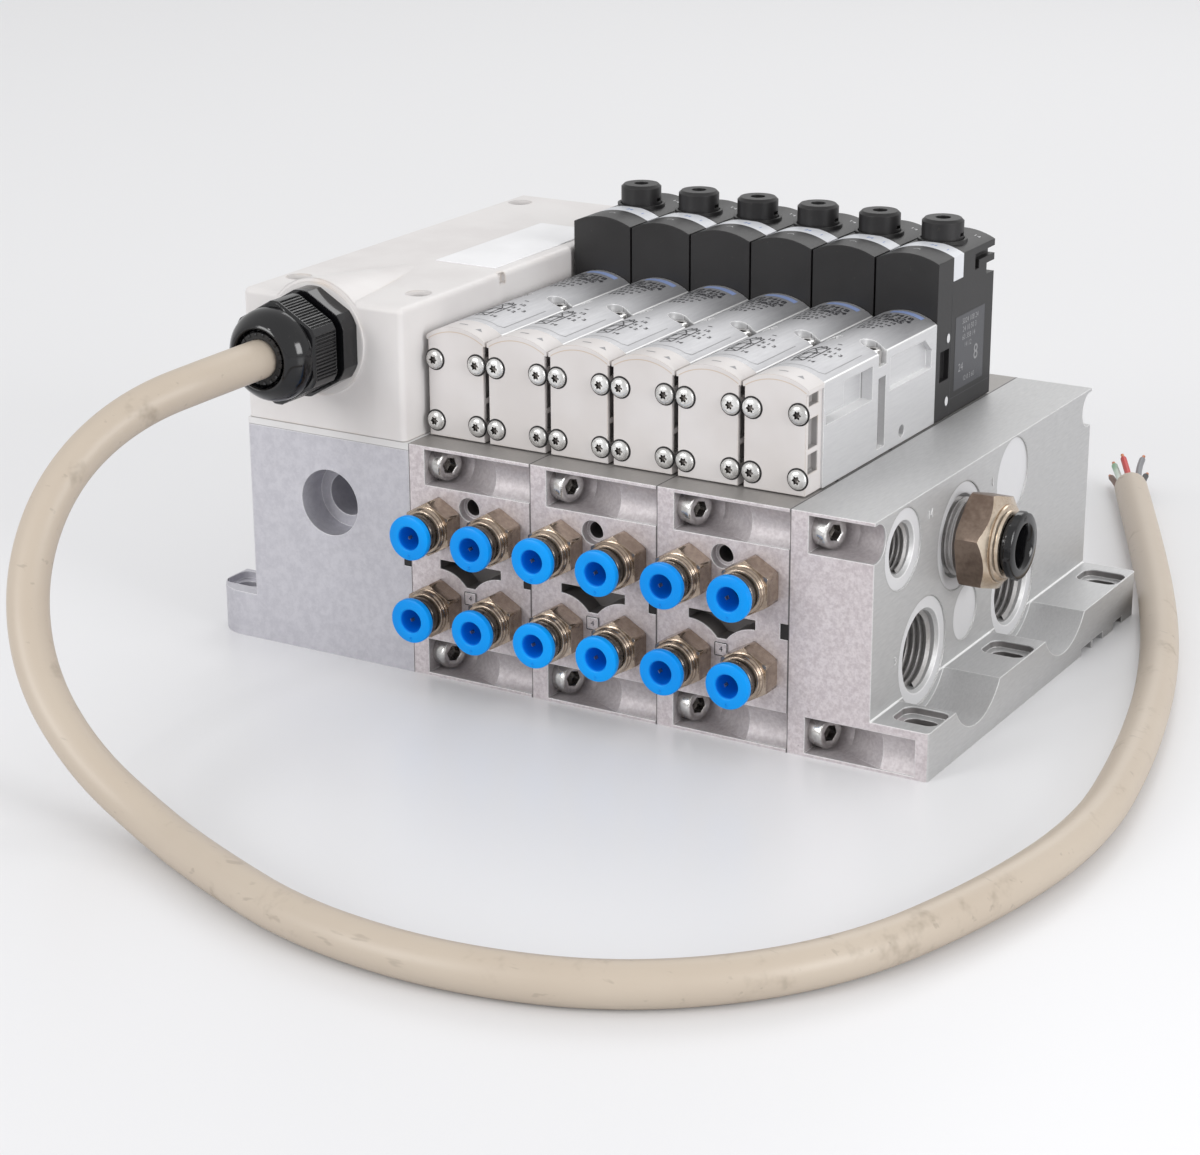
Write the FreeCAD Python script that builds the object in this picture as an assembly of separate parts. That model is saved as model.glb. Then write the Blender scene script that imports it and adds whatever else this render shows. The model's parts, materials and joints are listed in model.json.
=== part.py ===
# Pneumatic valve island, in millimetres. Three manifold blocks stand between two end
# plates and carry six valves, and a hood on the left end plate takes the cable. X runs
# along the row, the tube fittings face -Y and +Z is up. The origin lies on the base,
# midway between the slots of the feet.

import FreeCAD, Part
import math
import os

V = FreeCAD.Vector
X_AXIS = V(1, 0, 0)
Y_AXIS = V(0, 1, 0)
Z_AXIS = V(0, 0, 1)

# Row of plates and blocks
block_count = 3
valves_per_block = 2
valve_pitch = 19.0
left_plate_width = 53.0
right_plate_width = 23.0
depth = 142.0
height = 65.0
overshoot = 1.0
fit = 0.05

block_width = valves_per_block * valve_pitch
row_width = left_plate_width + block_count * block_width + right_plate_width
row_left = -row_width / 2
row_right = row_width / 2
blocks_left = row_left + left_plate_width
blocks_right = row_right - right_plate_width
front = -depth / 2
back = depth / 2
valve_count = block_count * valves_per_block

# Feet of both end plates
foot_reach = 16.0
foot_height = 13.0
foot_corner = 10.0
foot_edge = 1.2
slot_inset = 9.4
slot_width = 5.6
slot_length = 8.8
recess_width = 10.6
recess_length = 12.4
recess_corner = 3.0
recess_depth = 2.0
end_slot_margin = 10.0
middle_slot_inset = 65.0
rail_notch_depth = 2.2
rail_notch_reach = 6.0
rail_notches = ((9.0, 16.0), (24.0, 31.5), (32.5, 40.0))

# Ports on the right end plate
exhaust_height = 22.0
front_exhaust_inset = 30.5
back_exhaust_inset = 89.0
supply_inset = 52.3
supply_height = 46.8
pilot_inset = 16.7
pilot_height = 53.5
large_port_radius = 10.45
large_port_depth = 15.0
large_spot_radius = 14.4
pilot_port_radius = 6.6
pilot_port_depth = 12.0
pilot_spot_radius = 10.6
spot_depth = 0.4
port_chamfer = 0.9
duct_radius = 7.0
duct_end_reach = 9.0
dip_radius = 16.6
supply_duct_drop = 4.0
blank_pad_inset = 86.0
blank_pad_height = 54.0
small_pad_inset = 57.2
small_pad_height = 24.3
small_pad_radius = 7.6

# Tie screws and the scooped pockets they sit in
pocket_wall = 5.0
pocket_half_height = 4.9
pocket_depth = 10.6
pocket_straight = 9.0
pocket_run_out = 12.0
pocket_shallow = 2.8
plate_pocket_shallow = 6.0
foot_pocket_shallow = 2.2
foot_pocket_reach = 12.5
tie_margin = 5.8
tie_inset = 5.6
tie_radius = 2.5
tie_grip = 10.0
tie_head_radius = 4.25
tie_head_length = 5.0
tie_socket = 4.0
tie_socket_depth = 2.6

# Front face of a manifold block
upper_port_height = 44.2
lower_port_height = 21.1
small_port_radius = 4.9
small_port_depth = 9.0
inspection_height = 49.5
inspection_radius = 3.2
inspection_depth = 2.5
inspection_bore_radius = 2.2
inspection_bore_depth = 9.0
window_side = 9.4
window_top = 34.0
window_bottom = 27.4
window_depth = 6.0
window_scallop = 10.3
marker_side = 3.2
marker_drop = 2.4
marker_raise = 0.3
seal_thickness = 1.5
seal_front_inset = 14.0
seal_back_inset = 14.0
seal_bottom = 12.5
seal_top = 51.0
tab_width = 2.3
tab_bottom = 30.4
tab_height = 4.1

# Push-in fittings with their release rings
tube_radius = 3.0
tube_clearance = 0.08
hex_across = 13.0
hex_length = 6.2
collar_radius = 5.9
collar_length = 4.6
spigot_radius = 4.8
spigot_length = 5.6
spigot_bore_radius = 2.2
tube_stop = 0.6
ring_radius = 6.1
ring_thickness = 1.9
ring_gap = 2.3
ring_neck_radius = 4.4
ring_neck_length = 4.0
ring_travel = 1.0
hex_chamfer = 0.9

# Supply fitting and its ring
supply_tube_radius = 5.0
supply_hex_across = 24.0
supply_stand_off = 3.8
supply_hex_length = 8.2
supply_collar_radius = 9.4
supply_collar_length = 2.1
supply_spigot_radius = 10.35
supply_spigot_length = 9.0
supply_bore_radius = 4.0
supply_ring_radius = 9.15
supply_ring_thickness = 2.0
supply_ring_gap = 1.7
supply_neck_radius = 7.0
supply_neck_length = 6.0

# Valves
valve_gap = 0.6
valve_front_inset = 9.4
cap_length = 8.5
valve_rise = 27.8
arch_rise = 3.0
body_length = 67.5
pilot_length = 37.3
pilot_rise = 44.2
pilot_arch_rise = 2.2
gasket_thickness = 0.4
gasket_margin = 1.2
gasket_tabs = (8.0, 40.0)
gasket_tab_width = 1.2
cap_screw_inset = 2.65
cap_screw_low = 4.6
cap_screw_high = 21.4
cap_screw_radius = 1.45
cap_screw_length = 15.0
cap_head_radius = 2.75
cap_head_height = 1.9
cap_recess_depth = 2.4
cap_recess_inset = 1.2
cap_recess_wall = 2.0
cap_relief_depth = 0.6
cap_relief_drop = 1.2
cap_recesses = ((5.7, 10.9), (12.3, 20.0), (23.3, 26.3))
valve_screw_inset = 3.4
valve_screw_place = 33.9
valve_screw_sink = 3.4
valve_screw_grip = 8.0
valve_head_radius = 2.75
valve_head_height = 3.0
valve_notch = 4.8
front_pocket = ((1.1, 16.6), (28.1, 16.6), (28.1, 25.6), (11.1, 25.6), (11.1, 19.5), (1.1, 19.5))
front_pocket_depth = 3.6
back_pocket = ((38.6, 16.6), (64.6, 16.6), (64.6, 21.5), (60.1, 25.2), (38.6, 25.4))
back_pocket_depth = 1.8
side_slot = (31.6, 36.1, 2.3, 21.4)
side_slot_depth = 3.2
side_hole_place = 46.6
side_hole_rise = 3.6
side_hole_radius = 1.75

# Pilot heads
strip_start = 9.9
strip_width = 6.4
strip_thickness = 0.5
strip_drop = 6.6
latch_slot = (2.6, 8.6, 11.0, 19.5)
latch_depth = 1.6
l_slot = (24.1, 37.3, 40.3, 42.4)
l_slot_leg = (24.1, 26.8, 38.0, 40.4)
l_slot_depth = 2.0
rear_notch = (32.1, 37.3, 35.2, 38.4)
rear_notch_depth = 3.2

# Manual overrides
knob_place = 22.4
knob_radius = 5.8
knob_rise = 7.8
knob_length = 6.3
knob_chamfer = 0.8
knob_hole_radius = 2.1
knob_hole_depth = 2.6
stem_radius = 1.9
stem_length = 12.0
press_travel = 1.5
press_reserve = 0.3
collar_wall = 0.8
collar_lift = 0.1
collar_clearance = 0.25

# Front hole of the left end plate
front_hole_radius = 9.3
front_hole_depth = 9.0
front_hole_core = 6.0
front_hole_end = 22.0
front_hole_height = 44.3

# Hood and cable entry
frame_thickness = 2.0
hood_gap = 1.0
hood_rise = 36.4
hood_wall = 2.6
hood_edge = 1.6
gland_x_inset = 24.5
gland_drop = 11.1
cowl_radius = 16.4
cowl_length = 45.0
seat_radius = 15.4
seat_thickness = 0.8
hood_screw_radius = 1.9
frame_screw_grip = 8.0
hood_head_radius = 3.0
hood_recess_radius = 3.5
hood_recess_depth = 3.0
hood_screw_side = 6.2
hood_screw_front = 17.3
hood_screw_back = 11.0
hood_post_radius = 4.6
board_thickness = 1.6
board_stand_off = 5.0
board_clearance = 1.5
board_post_radius = 2.5
board_post_inset = 5.0
rack_margin = 20.0
rack_width = 12.0
rack_height = 10.0
side_notch_inset = 49.2
side_notch_width = 2.8
side_notch_height = 3.2
side_notch_depth = 1.6

# Cable gland
cable_radius = 5.25
cable_start = 1.4
core_count = 7
core_radius = 1.1
core_circle = 3.2
core_length = 12.0
core_step = 3.5
gland_hex_across = 27.0
gland_hex_length = 6.0
gland_corner_radius = 14.5
gland_turn = 30.0
gland_neck_radius = 9.8
gland_gap = 1.8
gland_neck_length = 10.5
nut_across = 25.4
nut_length = 10.4
nut_corner_radius = 14.0
dome_length = 7.2
dome_radius = 12.5
dome_mouth_radius = 7.7
dome_bore_radius = 7.0
gland_bore_radius = 7.2
spigot_inside = 8.0
rib_groove_width = 0.6
rib_groove_depth = 0.5
rib_pitch = 1.15
ribs_per_flat = 10

# Route of the cable's centre line
cable_route = (
    (-70.5, -111.0, 90.3),
    (-81.5, -137.0, 85.0),
    (-87.5, -158.0, 71.5),
    (-85.5, -174.5, 52.0),
    (-74.8, -185.5, 31.6),
    (-56.0, -191.0, 14.9),
    (-30.0, -196.5, 5.3),
    (-5.0, -208.0, 5.3),
    (30.0, -221.0, 5.3),
    (70.0, -223.0, 5.3),
    (109.0, -211.0, 5.3),
    (140.0, -180.0, 5.3),
    (155.0, -135.0, 5.3),
    (161.0, -90.0, 5.3),
    (154.0, -43.0, 5.3),
    (142.0, 6.0, 5.3),
    (125.0, 55.0, 5.3),
    (99.5, 113.0, 5.3),
    (73.0, 169.0, 5.3),
)

# Places that follow from the sizes above
supply_y = front + supply_inset
pilot_y = front + pilot_inset
front_exhaust_y = front + front_exhaust_inset
back_exhaust_y = front + back_exhaust_inset
upper_tie_height = height - tie_margin
lower_tie_height = tie_margin
valve_width = valve_pitch - valve_gap
cap_screw_side = valve_width / 2 - cap_screw_inset
valve_screw_side = valve_width / 2 - valve_screw_inset
valve_shoulder = height + valve_rise
pilot_shoulder = height + pilot_rise
valve_start = front + valve_front_inset
body_start = valve_start + cap_length
pilot_start = body_start + body_length
pilot_end = pilot_start + pilot_length
valve_screw_seat = valve_shoulder - valve_screw_sink
knob_y = pilot_start + knob_place
knob_top = pilot_shoulder + knob_rise
knob_pocket_radius = knob_radius + collar_clearance
knob_collar_radius = knob_pocket_radius + collar_wall
hood_top = height + hood_rise


def box(x0, y0, z0, x1, y1, z1):
    """A block between two corners."""
    corner = V(min(x0, x1), min(y0, y1), min(z0, z1))
    return Part.makeBox(abs(x1 - x0), abs(y1 - y0), abs(z1 - z0), corner)


def rod(x, y, z, direction, length, radius):
    """A cylinder that starts at a point and runs along a direction."""
    return Part.makeCylinder(radius, length, V(x, y, z), direction)


def prism(points, direction):
    """A closed outline pushed along a vector."""
    corners = [V(*point) for point in points]
    return Part.Face(Part.makePolygon(corners + corners[:1])).extrude(direction)


def turned(profile, place, axis):
    """A profile of (distance along the axis, radius) pairs turned about the axis."""
    points = [V(radius, 0, along) for along, radius in profile]
    face = Part.Face(Part.makePolygon(points + points[:1]))
    solid = face.revolve(V(0, 0, 0), Z_AXIS, 360)
    solid.Placement = FreeCAD.Placement(place, FreeCAD.Rotation(Z_AXIS, axis))
    return solid


def hexagon(place, axis, across, length, turn):
    """A six-sided bar with its flats the given distance apart."""
    corner = across / math.sqrt(3)
    points = []
    for step in range(6):
        angle = math.radians(60 * step + turn)
        points.append((corner * math.cos(angle), corner * math.sin(angle), 0))
    bar = prism(points, V(0, 0, length))
    bar.Placement = FreeCAD.Placement(place, FreeCAD.Rotation(Z_AXIS, axis))
    return bar


def mirror_y(shape):
    """The same shape on the other side of the row's middle plane."""
    return shape.mirror(V(0, 0, 0), Y_AXIS)


def one(shapes):
    """Several separate solids kept together in one node."""
    return Part.makeCompound(shapes)


def joined(shapes):
    """Several touching shapes melted into one solid."""
    return shapes[0].fuse(shapes[1:]).removeSplitter()


# Feet
def foot_flange(inner, outer):
    """The ledge along the base, dipped where the ports above need room."""
    flange = box(inner, front, 0, outer, back, foot_height)
    outward = math.copysign(1, outer)
    outer_edges = []
    for edge in flange.Edges:
        middle = edge.CenterOfMass
        upright = abs(middle.z - foot_height / 2) < fit
        if upright and abs(middle.x - outer) < fit:
            outer_edges.append(edge)
    flange = flange.makeFillet(foot_corner if outward < 0 else foot_edge, outer_edges)
    start = min(inner, outer) - overshoot
    length = foot_reach + 2 * overshoot
    for y in (front_exhaust_y, back_exhaust_y):
        flange = flange.cut(rod(start, y, exhaust_height, X_AXIS, length, dip_radius))
    for y0, y1 in rail_notches:
        notch_in = outer - outward * rail_notch_reach
        notch_out = outer + outward * overshoot
        flange = flange.cut(box(notch_in, back - y1, -overshoot, notch_out, back - y0, rail_notch_depth))
    return flange


def long_hole(x, y, bottom, top, length, width):
    """A round-ended slot along X."""
    half = (length - width) / 2
    middle = box(x - half, y - width / 2, bottom, x + half, y + width / 2, top)
    ends = [rod(x + side * half, y, bottom, Z_AXIS, top - bottom, width / 2) for side in (-1, 1)]
    return middle.fuse(ends).removeSplitter()


def sunk_seat(x, y, floor):
    """The rounded pocket round a fixing slot."""
    half_x = recess_length / 2
    half_y = recess_width / 2
    seat = box(x - half_x, y - half_y, floor, x + half_x, y + half_y, foot_height + overshoot)
    upright = [edge for edge in seat.Edges if abs(edge.tangentAt(edge.FirstParameter).z) > 0.5]
    return seat.makeFillet(recess_corner, upright)


def slot_rows():
    """The Y places of the slots in each foot ledge."""
    return (front + end_slot_margin, front + middle_slot_inset, back - end_slot_margin)


def with_slots(shape, x):
    """Cut the fixing slots and their sunk seats."""
    for y in slot_rows():
        shape = shape.cut(long_hole(x, y, -overshoot, foot_height + overshoot, slot_length, slot_width))
        shape = shape.cut(sunk_seat(x, y, foot_height - recess_depth))
    return shape


# Pockets and tie screws
def pocket_section(x, depth_here, height_here):
    """The round-backed outline of a pocket at one place along the row."""
    straight = front + max(depth_here - pocket_half_height, 0.4)
    low = height_here - pocket_half_height
    high = height_here + pocket_half_height
    outside = front - overshoot
    a, b = V(x, outside, low), V(x, straight, low)
    c, d = V(x, straight, high), V(x, outside, high)
    bend = Part.Arc(b, V(x, front + depth_here, height_here), c).toShape()
    edges = [Part.makeLine(a, b), bend, Part.makeLine(c, d), Part.makeLine(d, a)]
    return Part.Wire(edges)


def pocket(x_start, x_end, height_here, shallow):
    """A pocket with a flat left wall that scoops out to the front on its right."""
    deep_end = x_start + pocket_straight
    run_end = min(deep_end + pocket_run_out, x_end)
    deep = Part.Face(pocket_section(x_start, pocket_depth, height_here)).extrude(V(pocket_straight, 0, 0))
    sections = [pocket_section(deep_end, pocket_depth, height_here)]
    sections.append(pocket_section(run_end, shallow, height_here))
    pieces = [deep, Part.makeLoft(sections, True, True)]
    if x_end > run_end:
        tail = Part.Face(pocket_section(run_end, shallow, height_here))
        pieces.append(tail.extrude(V(x_end - run_end, 0, 0)))
    return joined(pieces)


def tie_rows():
    """The Y and Z places of the four tie screws at each seam."""
    places = []
    for z in (upper_tie_height, lower_tie_height):
        places.append((front + tie_inset, z))
        places.append((back - tie_inset, z))
    return places


def tie_screw(seam, y, z):
    """A socket head cap screw that pulls a piece against its left neighbour."""
    head_seat = seam + pocket_wall
    head = rod(head_seat, y, z, X_AXIS, tie_head_length, tie_head_radius)
    socket_start = V(head_seat + tie_head_length - tie_socket_depth, y, z)
    socket = hexagon(socket_start, X_AXIS, tie_socket, tie_socket_depth + overshoot, 0)
    shank = rod(seam - tie_grip, y, z, X_AXIS, tie_grip + pocket_wall, tie_radius)
    return joined([head.cut(socket), shank])


def with_tie_threads(shape, seam):
    """Holes for the screws that come in through a piece's right face."""
    for y, z in tie_rows():
        length = tie_grip + fit + overshoot
        shape = shape.cut(rod(seam - tie_grip - fit, y, z, X_AXIS, length, tie_radius + fit))
    return shape


def with_tie_passages(shape, seam):
    """Holes for the screws that leave through a piece's left wall."""
    for y, z in tie_rows():
        shape = shape.cut(rod(seam - overshoot, y, z, X_AXIS, pocket_wall + 2 * overshoot, tie_radius + fit))
    return shape


def seams():
    """The X places where neighbouring pieces of the row meet."""
    return [blocks_left + step * block_width for step in range(block_count + 1)]


# Seals between the pieces of the row
def duct_lines():
    """Y, Z and radius of the ducts that run along the row."""
    return (
        (supply_y, supply_height - supply_duct_drop, duct_radius),
        (front_exhaust_y, exhaust_height, duct_radius),
        (back_exhaust_y, exhaust_height, duct_radius),
    )


def seam_seal(seam, gap):
    """A flat rubber seal with a tab that shows at the front."""
    sheet = box(seam - seal_thickness - gap, front + seal_front_inset - gap, seal_bottom - gap,
                seam, back - seal_back_inset + gap, seal_top + gap)
    tab = box(seam - tab_width - gap, front, tab_bottom - gap,
              seam, front + seal_front_inset + overshoot, tab_bottom + tab_height + gap)
    return joined([sheet, tab])


def block_seal(seam):
    """One seal with its duct openings."""
    seal = seam_seal(seam, 0)
    for y, z, radius in duct_lines():
        seal = seal.cut(rod(seam - tab_width - overshoot, y, z, X_AXIS, tab_width + 2 * overshoot, radius))
    return seal


# Manifold block
def port_places(left):
    """X and Z of the four tube ports on a block's front."""
    places = []
    for step in range(valves_per_block):
        for z in (upper_port_height, lower_port_height):
            places.append((left + (step + 0.5) * valve_pitch, z))
    return places


def window(left):
    """The dark recess between the ports, with sides that follow the lower ports."""
    shape = box(left + window_side, front - overshoot, window_bottom,
                left + block_width - window_side, front + window_depth, window_top)
    for x, z in port_places(left):
        if z == lower_port_height:
            reach = window_depth + 3 * overshoot
            shape = shape.cut(rod(x, front - 2 * overshoot, z, Y_AXIS, reach, window_scallop))
    return shape


def manifold_block(left):
    """One two-valve block with its ports, pockets, ducts and fixing holes."""
    right = left + block_width
    block = box(left, front, 0, right, back, height)
    for z in (upper_tie_height, lower_tie_height):
        scoop = pocket(left + pocket_wall, right, z, pocket_shallow)
        block = block.cut(scoop)
        block = block.cut(mirror_y(scoop))
    block = with_tie_passages(block, left)
    block = with_tie_threads(block, right)
    for x, z in port_places(left):
        reach = small_port_depth + overshoot
        block = block.cut(rod(x, front - overshoot, z, Y_AXIS, reach, small_port_radius))
    middle = left + block_width / 2
    for radius, deep in ((inspection_radius, inspection_depth),
                         (inspection_bore_radius, inspection_bore_depth)):
        block = block.cut(rod(middle, front - overshoot, inspection_height, Y_AXIS, deep + overshoot, radius))
    block = block.cut(window(left))
    for y, z, radius in duct_lines():
        block = block.cut(rod(left - overshoot, y, z, X_AXIS, block_width + 2 * overshoot, radius))
    block = block.cut(seam_seal(right, fit))
    for step in range(valves_per_block):
        centre = left + (step + 0.5) * valve_pitch
        block = with_valve_threads(block, centre)
    marker_top = window_bottom - marker_drop / 2
    marker = box(middle - marker_side / 2, front - marker_raise, marker_top - marker_side,
                 middle + marker_side / 2, front + overshoot, marker_top)
    return joined([block, marker])


# End plates
def left_end_plate():
    """The wide end plate under the hood."""
    top = height - frame_thickness
    plate = box(row_left, front, 0, blocks_left, back, top)
    plate = joined([plate, foot_flange(row_left, row_left - foot_reach)])
    plate = with_slots(plate, row_left - slot_inset)
    plate = with_tie_threads(plate, blocks_left)
    plate = plate.cut(seam_seal(blocks_left, fit))
    for radius, deep in ((front_hole_radius, front_hole_depth), (front_hole_core, front_hole_end)):
        plate = plate.cut(rod(row_left + left_plate_width / 2, front - overshoot, front_hole_height,
                              Y_AXIS, deep + overshoot, radius))
    for x, y in hood_screw_places():
        plate = plate.cut(rod(x, y, top - frame_screw_grip, Z_AXIS, frame_screw_grip + overshoot,
                              hood_screw_radius + fit))
    return plate


def threaded_port(shape, y, z, radius, deep, spot):
    """A port in the right face with its chamfer and its flat spot for a seal."""
    face = row_right - spot_depth
    shape = shape.cut(rod(face, y, z, X_AXIS, spot_depth + overshoot, spot))
    shape = shape.cut(rod(row_right - deep, y, z, X_AXIS, deep + overshoot, radius))
    cone = Part.makeCone(radius, radius + port_chamfer, port_chamfer, V(face - port_chamfer, y, z), X_AXIS)
    return shape.cut(cone)


def right_end_plate():
    """The end plate with the supply, exhaust and pilot ports."""
    plate = box(blocks_right, front, 0, row_right, back, height)
    plate = joined([plate, foot_flange(row_right, row_right + foot_reach)])
    start = blocks_right + pocket_wall
    upper = pocket(start, row_right + overshoot, upper_tie_height, plate_pocket_shallow)
    lower = pocket(start, row_right + foot_pocket_reach, lower_tie_height, foot_pocket_shallow)
    for scoop in (upper, lower):
        plate = plate.cut(scoop)
        plate = plate.cut(mirror_y(scoop))
    plate = with_tie_passages(plate, blocks_right)
    plate = with_slots(plate, row_right + slot_inset)
    large = (large_port_radius, large_port_depth, large_spot_radius)
    small = (pilot_port_radius, pilot_port_depth, pilot_spot_radius)
    plate = threaded_port(plate, supply_y, supply_height, *large)
    plate = threaded_port(plate, front_exhaust_y, exhaust_height, *large)
    plate = threaded_port(plate, back_exhaust_y, exhaust_height, *large)
    plate = threaded_port(plate, pilot_y, pilot_height, *small)
    for y, z, radius in ((front + blank_pad_inset, blank_pad_height, pilot_spot_radius),
                         (front + small_pad_inset, small_pad_height, small_pad_radius)):
        plate = plate.cut(rod(row_right - spot_depth, y, z, X_AXIS, spot_depth + overshoot, radius))
    for y, z, radius in duct_lines():
        plate = plate.cut(rod(blocks_right - overshoot, y, z, X_AXIS, duct_end_reach + overshoot, radius))
    return plate


# Push-in fittings
def push_in_body(x, z):
    """Nickel-plated body: hexagon, round collar and the threaded spigot in the block."""
    out = V(0, -1, 0)
    seat = V(x, front, z)
    bar = hexagon(seat, out, hex_across, hex_length, 30)
    corner = hex_across / math.sqrt(3)
    half = hex_across / 2
    rounding = turned([(0, 0), (0, half), (hex_chamfer, corner), (hex_length - hex_chamfer, corner),
                       (hex_length, half), (hex_length, 0)], seat, out)
    collar = rod(x, front - hex_length, z, out, collar_length, collar_radius)
    spigot = rod(x, front, z, Y_AXIS, spigot_length, spigot_radius)
    body = joined([bar.common(rounding), collar, spigot])
    face = hex_length + collar_length
    neck_seat = ring_neck_length + ring_travel + fit
    body = body.cut(rod(x, front - face - overshoot, z, Y_AXIS, neck_seat + overshoot,
                        ring_neck_radius + fit))
    body = body.cut(rod(x, front - face - overshoot, z, Y_AXIS, face - tube_stop + overshoot,
                        tube_radius + tube_clearance))
    return body.cut(rod(x, front - tube_stop - overshoot, z, Y_AXIS,
                        tube_stop + spigot_length + 2 * overshoot, spigot_bore_radius))


def release_ring(x, z):
    """The ring that is pushed in to free the tube."""
    out = V(0, -1, 0)
    face = hex_length + collar_length
    bore = tube_radius + tube_clearance
    neck_start = face - ring_neck_length
    flange = face + ring_gap
    end = flange + ring_thickness
    ease = 0.35
    profile = [(neck_start, bore), (neck_start, ring_neck_radius), (flange, ring_neck_radius),
               (flange, ring_radius), (end - ease, ring_radius), (end, ring_radius - ease),
               (end, bore + ease), (end - ease, bore)]
    return turned(profile, V(x, front, z), out)


def supply_fitting():
    """The large fitting, screwed into the supply port for part of its thread."""
    seat = V(row_right + supply_stand_off, supply_y, supply_height)
    corner = supply_hex_across / math.sqrt(3)
    half = supply_hex_across / 2
    bar = hexagon(seat, X_AXIS, supply_hex_across, supply_hex_length, 0)
    rounding = turned([(0, 0), (0, half), (2 * hex_chamfer, corner),
                       (supply_hex_length - 2 * hex_chamfer, corner),
                       (supply_hex_length, half), (supply_hex_length, 0)], seat, X_AXIS)
    collar = rod(seat.x + supply_hex_length, supply_y, supply_height, X_AXIS,
                 supply_collar_length, supply_collar_radius)
    spigot = rod(row_right - supply_spigot_length, supply_y, supply_height, X_AXIS,
                 supply_spigot_length + supply_stand_off, supply_spigot_radius)
    body = joined([bar.common(rounding), collar, spigot])
    end = seat.x + supply_hex_length + supply_collar_length
    neck_seat = supply_neck_length + ring_travel + fit
    body = body.cut(rod(end - neck_seat, supply_y, supply_height, X_AXIS,
                        neck_seat + overshoot, supply_neck_radius + fit))
    stop = row_right + tube_stop
    body = body.cut(rod(stop, supply_y, supply_height, X_AXIS, end - stop + overshoot,
                        supply_tube_radius + tube_clearance))
    return body.cut(rod(row_right - supply_spigot_length - overshoot, supply_y, supply_height, X_AXIS,
                        supply_spigot_length + tube_stop + 2 * overshoot, supply_bore_radius))


def supply_release_ring():
    """The black ring of the supply fitting."""
    face = supply_stand_off + supply_hex_length + supply_collar_length
    bore = supply_tube_radius + tube_clearance
    neck_start = face - supply_neck_length
    flange = face + supply_ring_gap
    end = flange + supply_ring_thickness
    ease = 0.5
    profile = [(neck_start, bore), (neck_start, supply_neck_radius), (flange, supply_neck_radius),
               (flange, supply_ring_radius), (end - ease, supply_ring_radius),
               (end, supply_ring_radius - ease),
               (end, bore + ease), (end - ease, bore)]
    return turned(profile, V(row_right, supply_y, supply_height), X_AXIS)


# Valves
def valve_centres():
    """The X places of the valves along the row."""
    return [blocks_left + (step + 0.5) * valve_pitch for step in range(valve_count)]


def arched(centre, half_width, y_start, y_end, bottom, shoulder, rise):
    """A bar along Y with a flat base, upright sides and an arched top."""
    a, b = V(centre - half_width, y_start, bottom), V(centre + half_width, y_start, bottom)
    c, d = V(centre + half_width, y_start, shoulder), V(centre - half_width, y_start, shoulder)
    crown = Part.Arc(c, V(centre, y_start, shoulder + rise), d).toShape()
    edges = [Part.makeLine(a, b), Part.makeLine(b, c), crown, Part.makeLine(d, a)]
    return Part.Face(Part.Wire(edges)).extrude(V(0, y_end - y_start, 0))


def side_prism(centre, side, start, outline, deep):
    """A cutter for a recess of any outline in a valve's side."""
    outer = centre + side * (valve_width / 2 + overshoot)
    points = [(outer, start + y, height + z) for y, z in outline]
    return prism(points, V(-side * (deep + overshoot), 0, 0))


def side_box(centre, side, start, limits, deep):
    """A cutter for a rectangular recess in a valve's side."""
    y0, y1, z0, z1 = limits
    return side_prism(centre, side, start, ((y0, z0), (y1, z0), (y1, z1), (y0, z1)), deep)


def valve_base():
    """The height at which a valve's underside lies on its gasket."""
    return height + gasket_thickness


def cap_screw_places(centre):
    """X and Z of the four screws of an end cap."""
    places = []
    for side in (-1, 1):
        for rise in (cap_screw_low, cap_screw_high):
            places.append((centre + side * cap_screw_side, height + rise))
    return places


def valve_screw_places(centre):
    """X and Y of the two screws that hold a valve down."""
    return [(centre + side * valve_screw_side, body_start + valve_screw_place) for side in (-1, 1)]


def with_valve_threads(block, centre):
    """Threaded holes for a valve's screws in the top of a block."""
    for x, y in valve_screw_places(centre):
        block = block.cut(rod(x, y, height - valve_screw_grip - fit, Z_AXIS,
                              valve_screw_grip + fit + overshoot, cap_screw_radius + fit))
    return block


def valve_body(centre):
    """The aluminium valve body with its side recesses and screw seats."""
    start = body_start
    body = arched(centre, valve_width / 2, start, pilot_start, valve_base(), valve_shoulder, arch_rise)
    for side in (-1, 1):
        body = body.cut(side_prism(centre, side, start, front_pocket, front_pocket_depth))
        body = body.cut(side_prism(centre, side, start, back_pocket, back_pocket_depth))
        body = body.cut(side_box(centre, side, start, side_slot, side_slot_depth))
    for x, y in valve_screw_places(centre):
        body = body.cut(rod(x, y, valve_base() - overshoot, Z_AXIS, height, cap_screw_radius + fit))
        tall = arch_rise + valve_shoulder - valve_screw_seat
        body = body.cut(rod(x, y, valve_screw_seat, Z_AXIS, tall, valve_head_radius + 4 * fit))
        outward = math.copysign(valve_width, x - centre)
        body = body.cut(box(x, y - valve_notch / 2, valve_screw_seat, x + outward,
                            y + valve_notch / 2, valve_screw_seat + tall))
    hole_x = centre + valve_width / 2 - side_slot_depth
    body = body.cut(rod(hole_x, start + side_hole_place, height + side_hole_rise,
                        X_AXIS, valve_width, side_hole_radius))
    for x, z in cap_screw_places(centre):
        reach = cap_screw_length - cap_length
        body = body.cut(rod(x, start - overshoot, z, Y_AXIS, reach + overshoot + fit, cap_screw_radius + fit))
    return body


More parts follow.
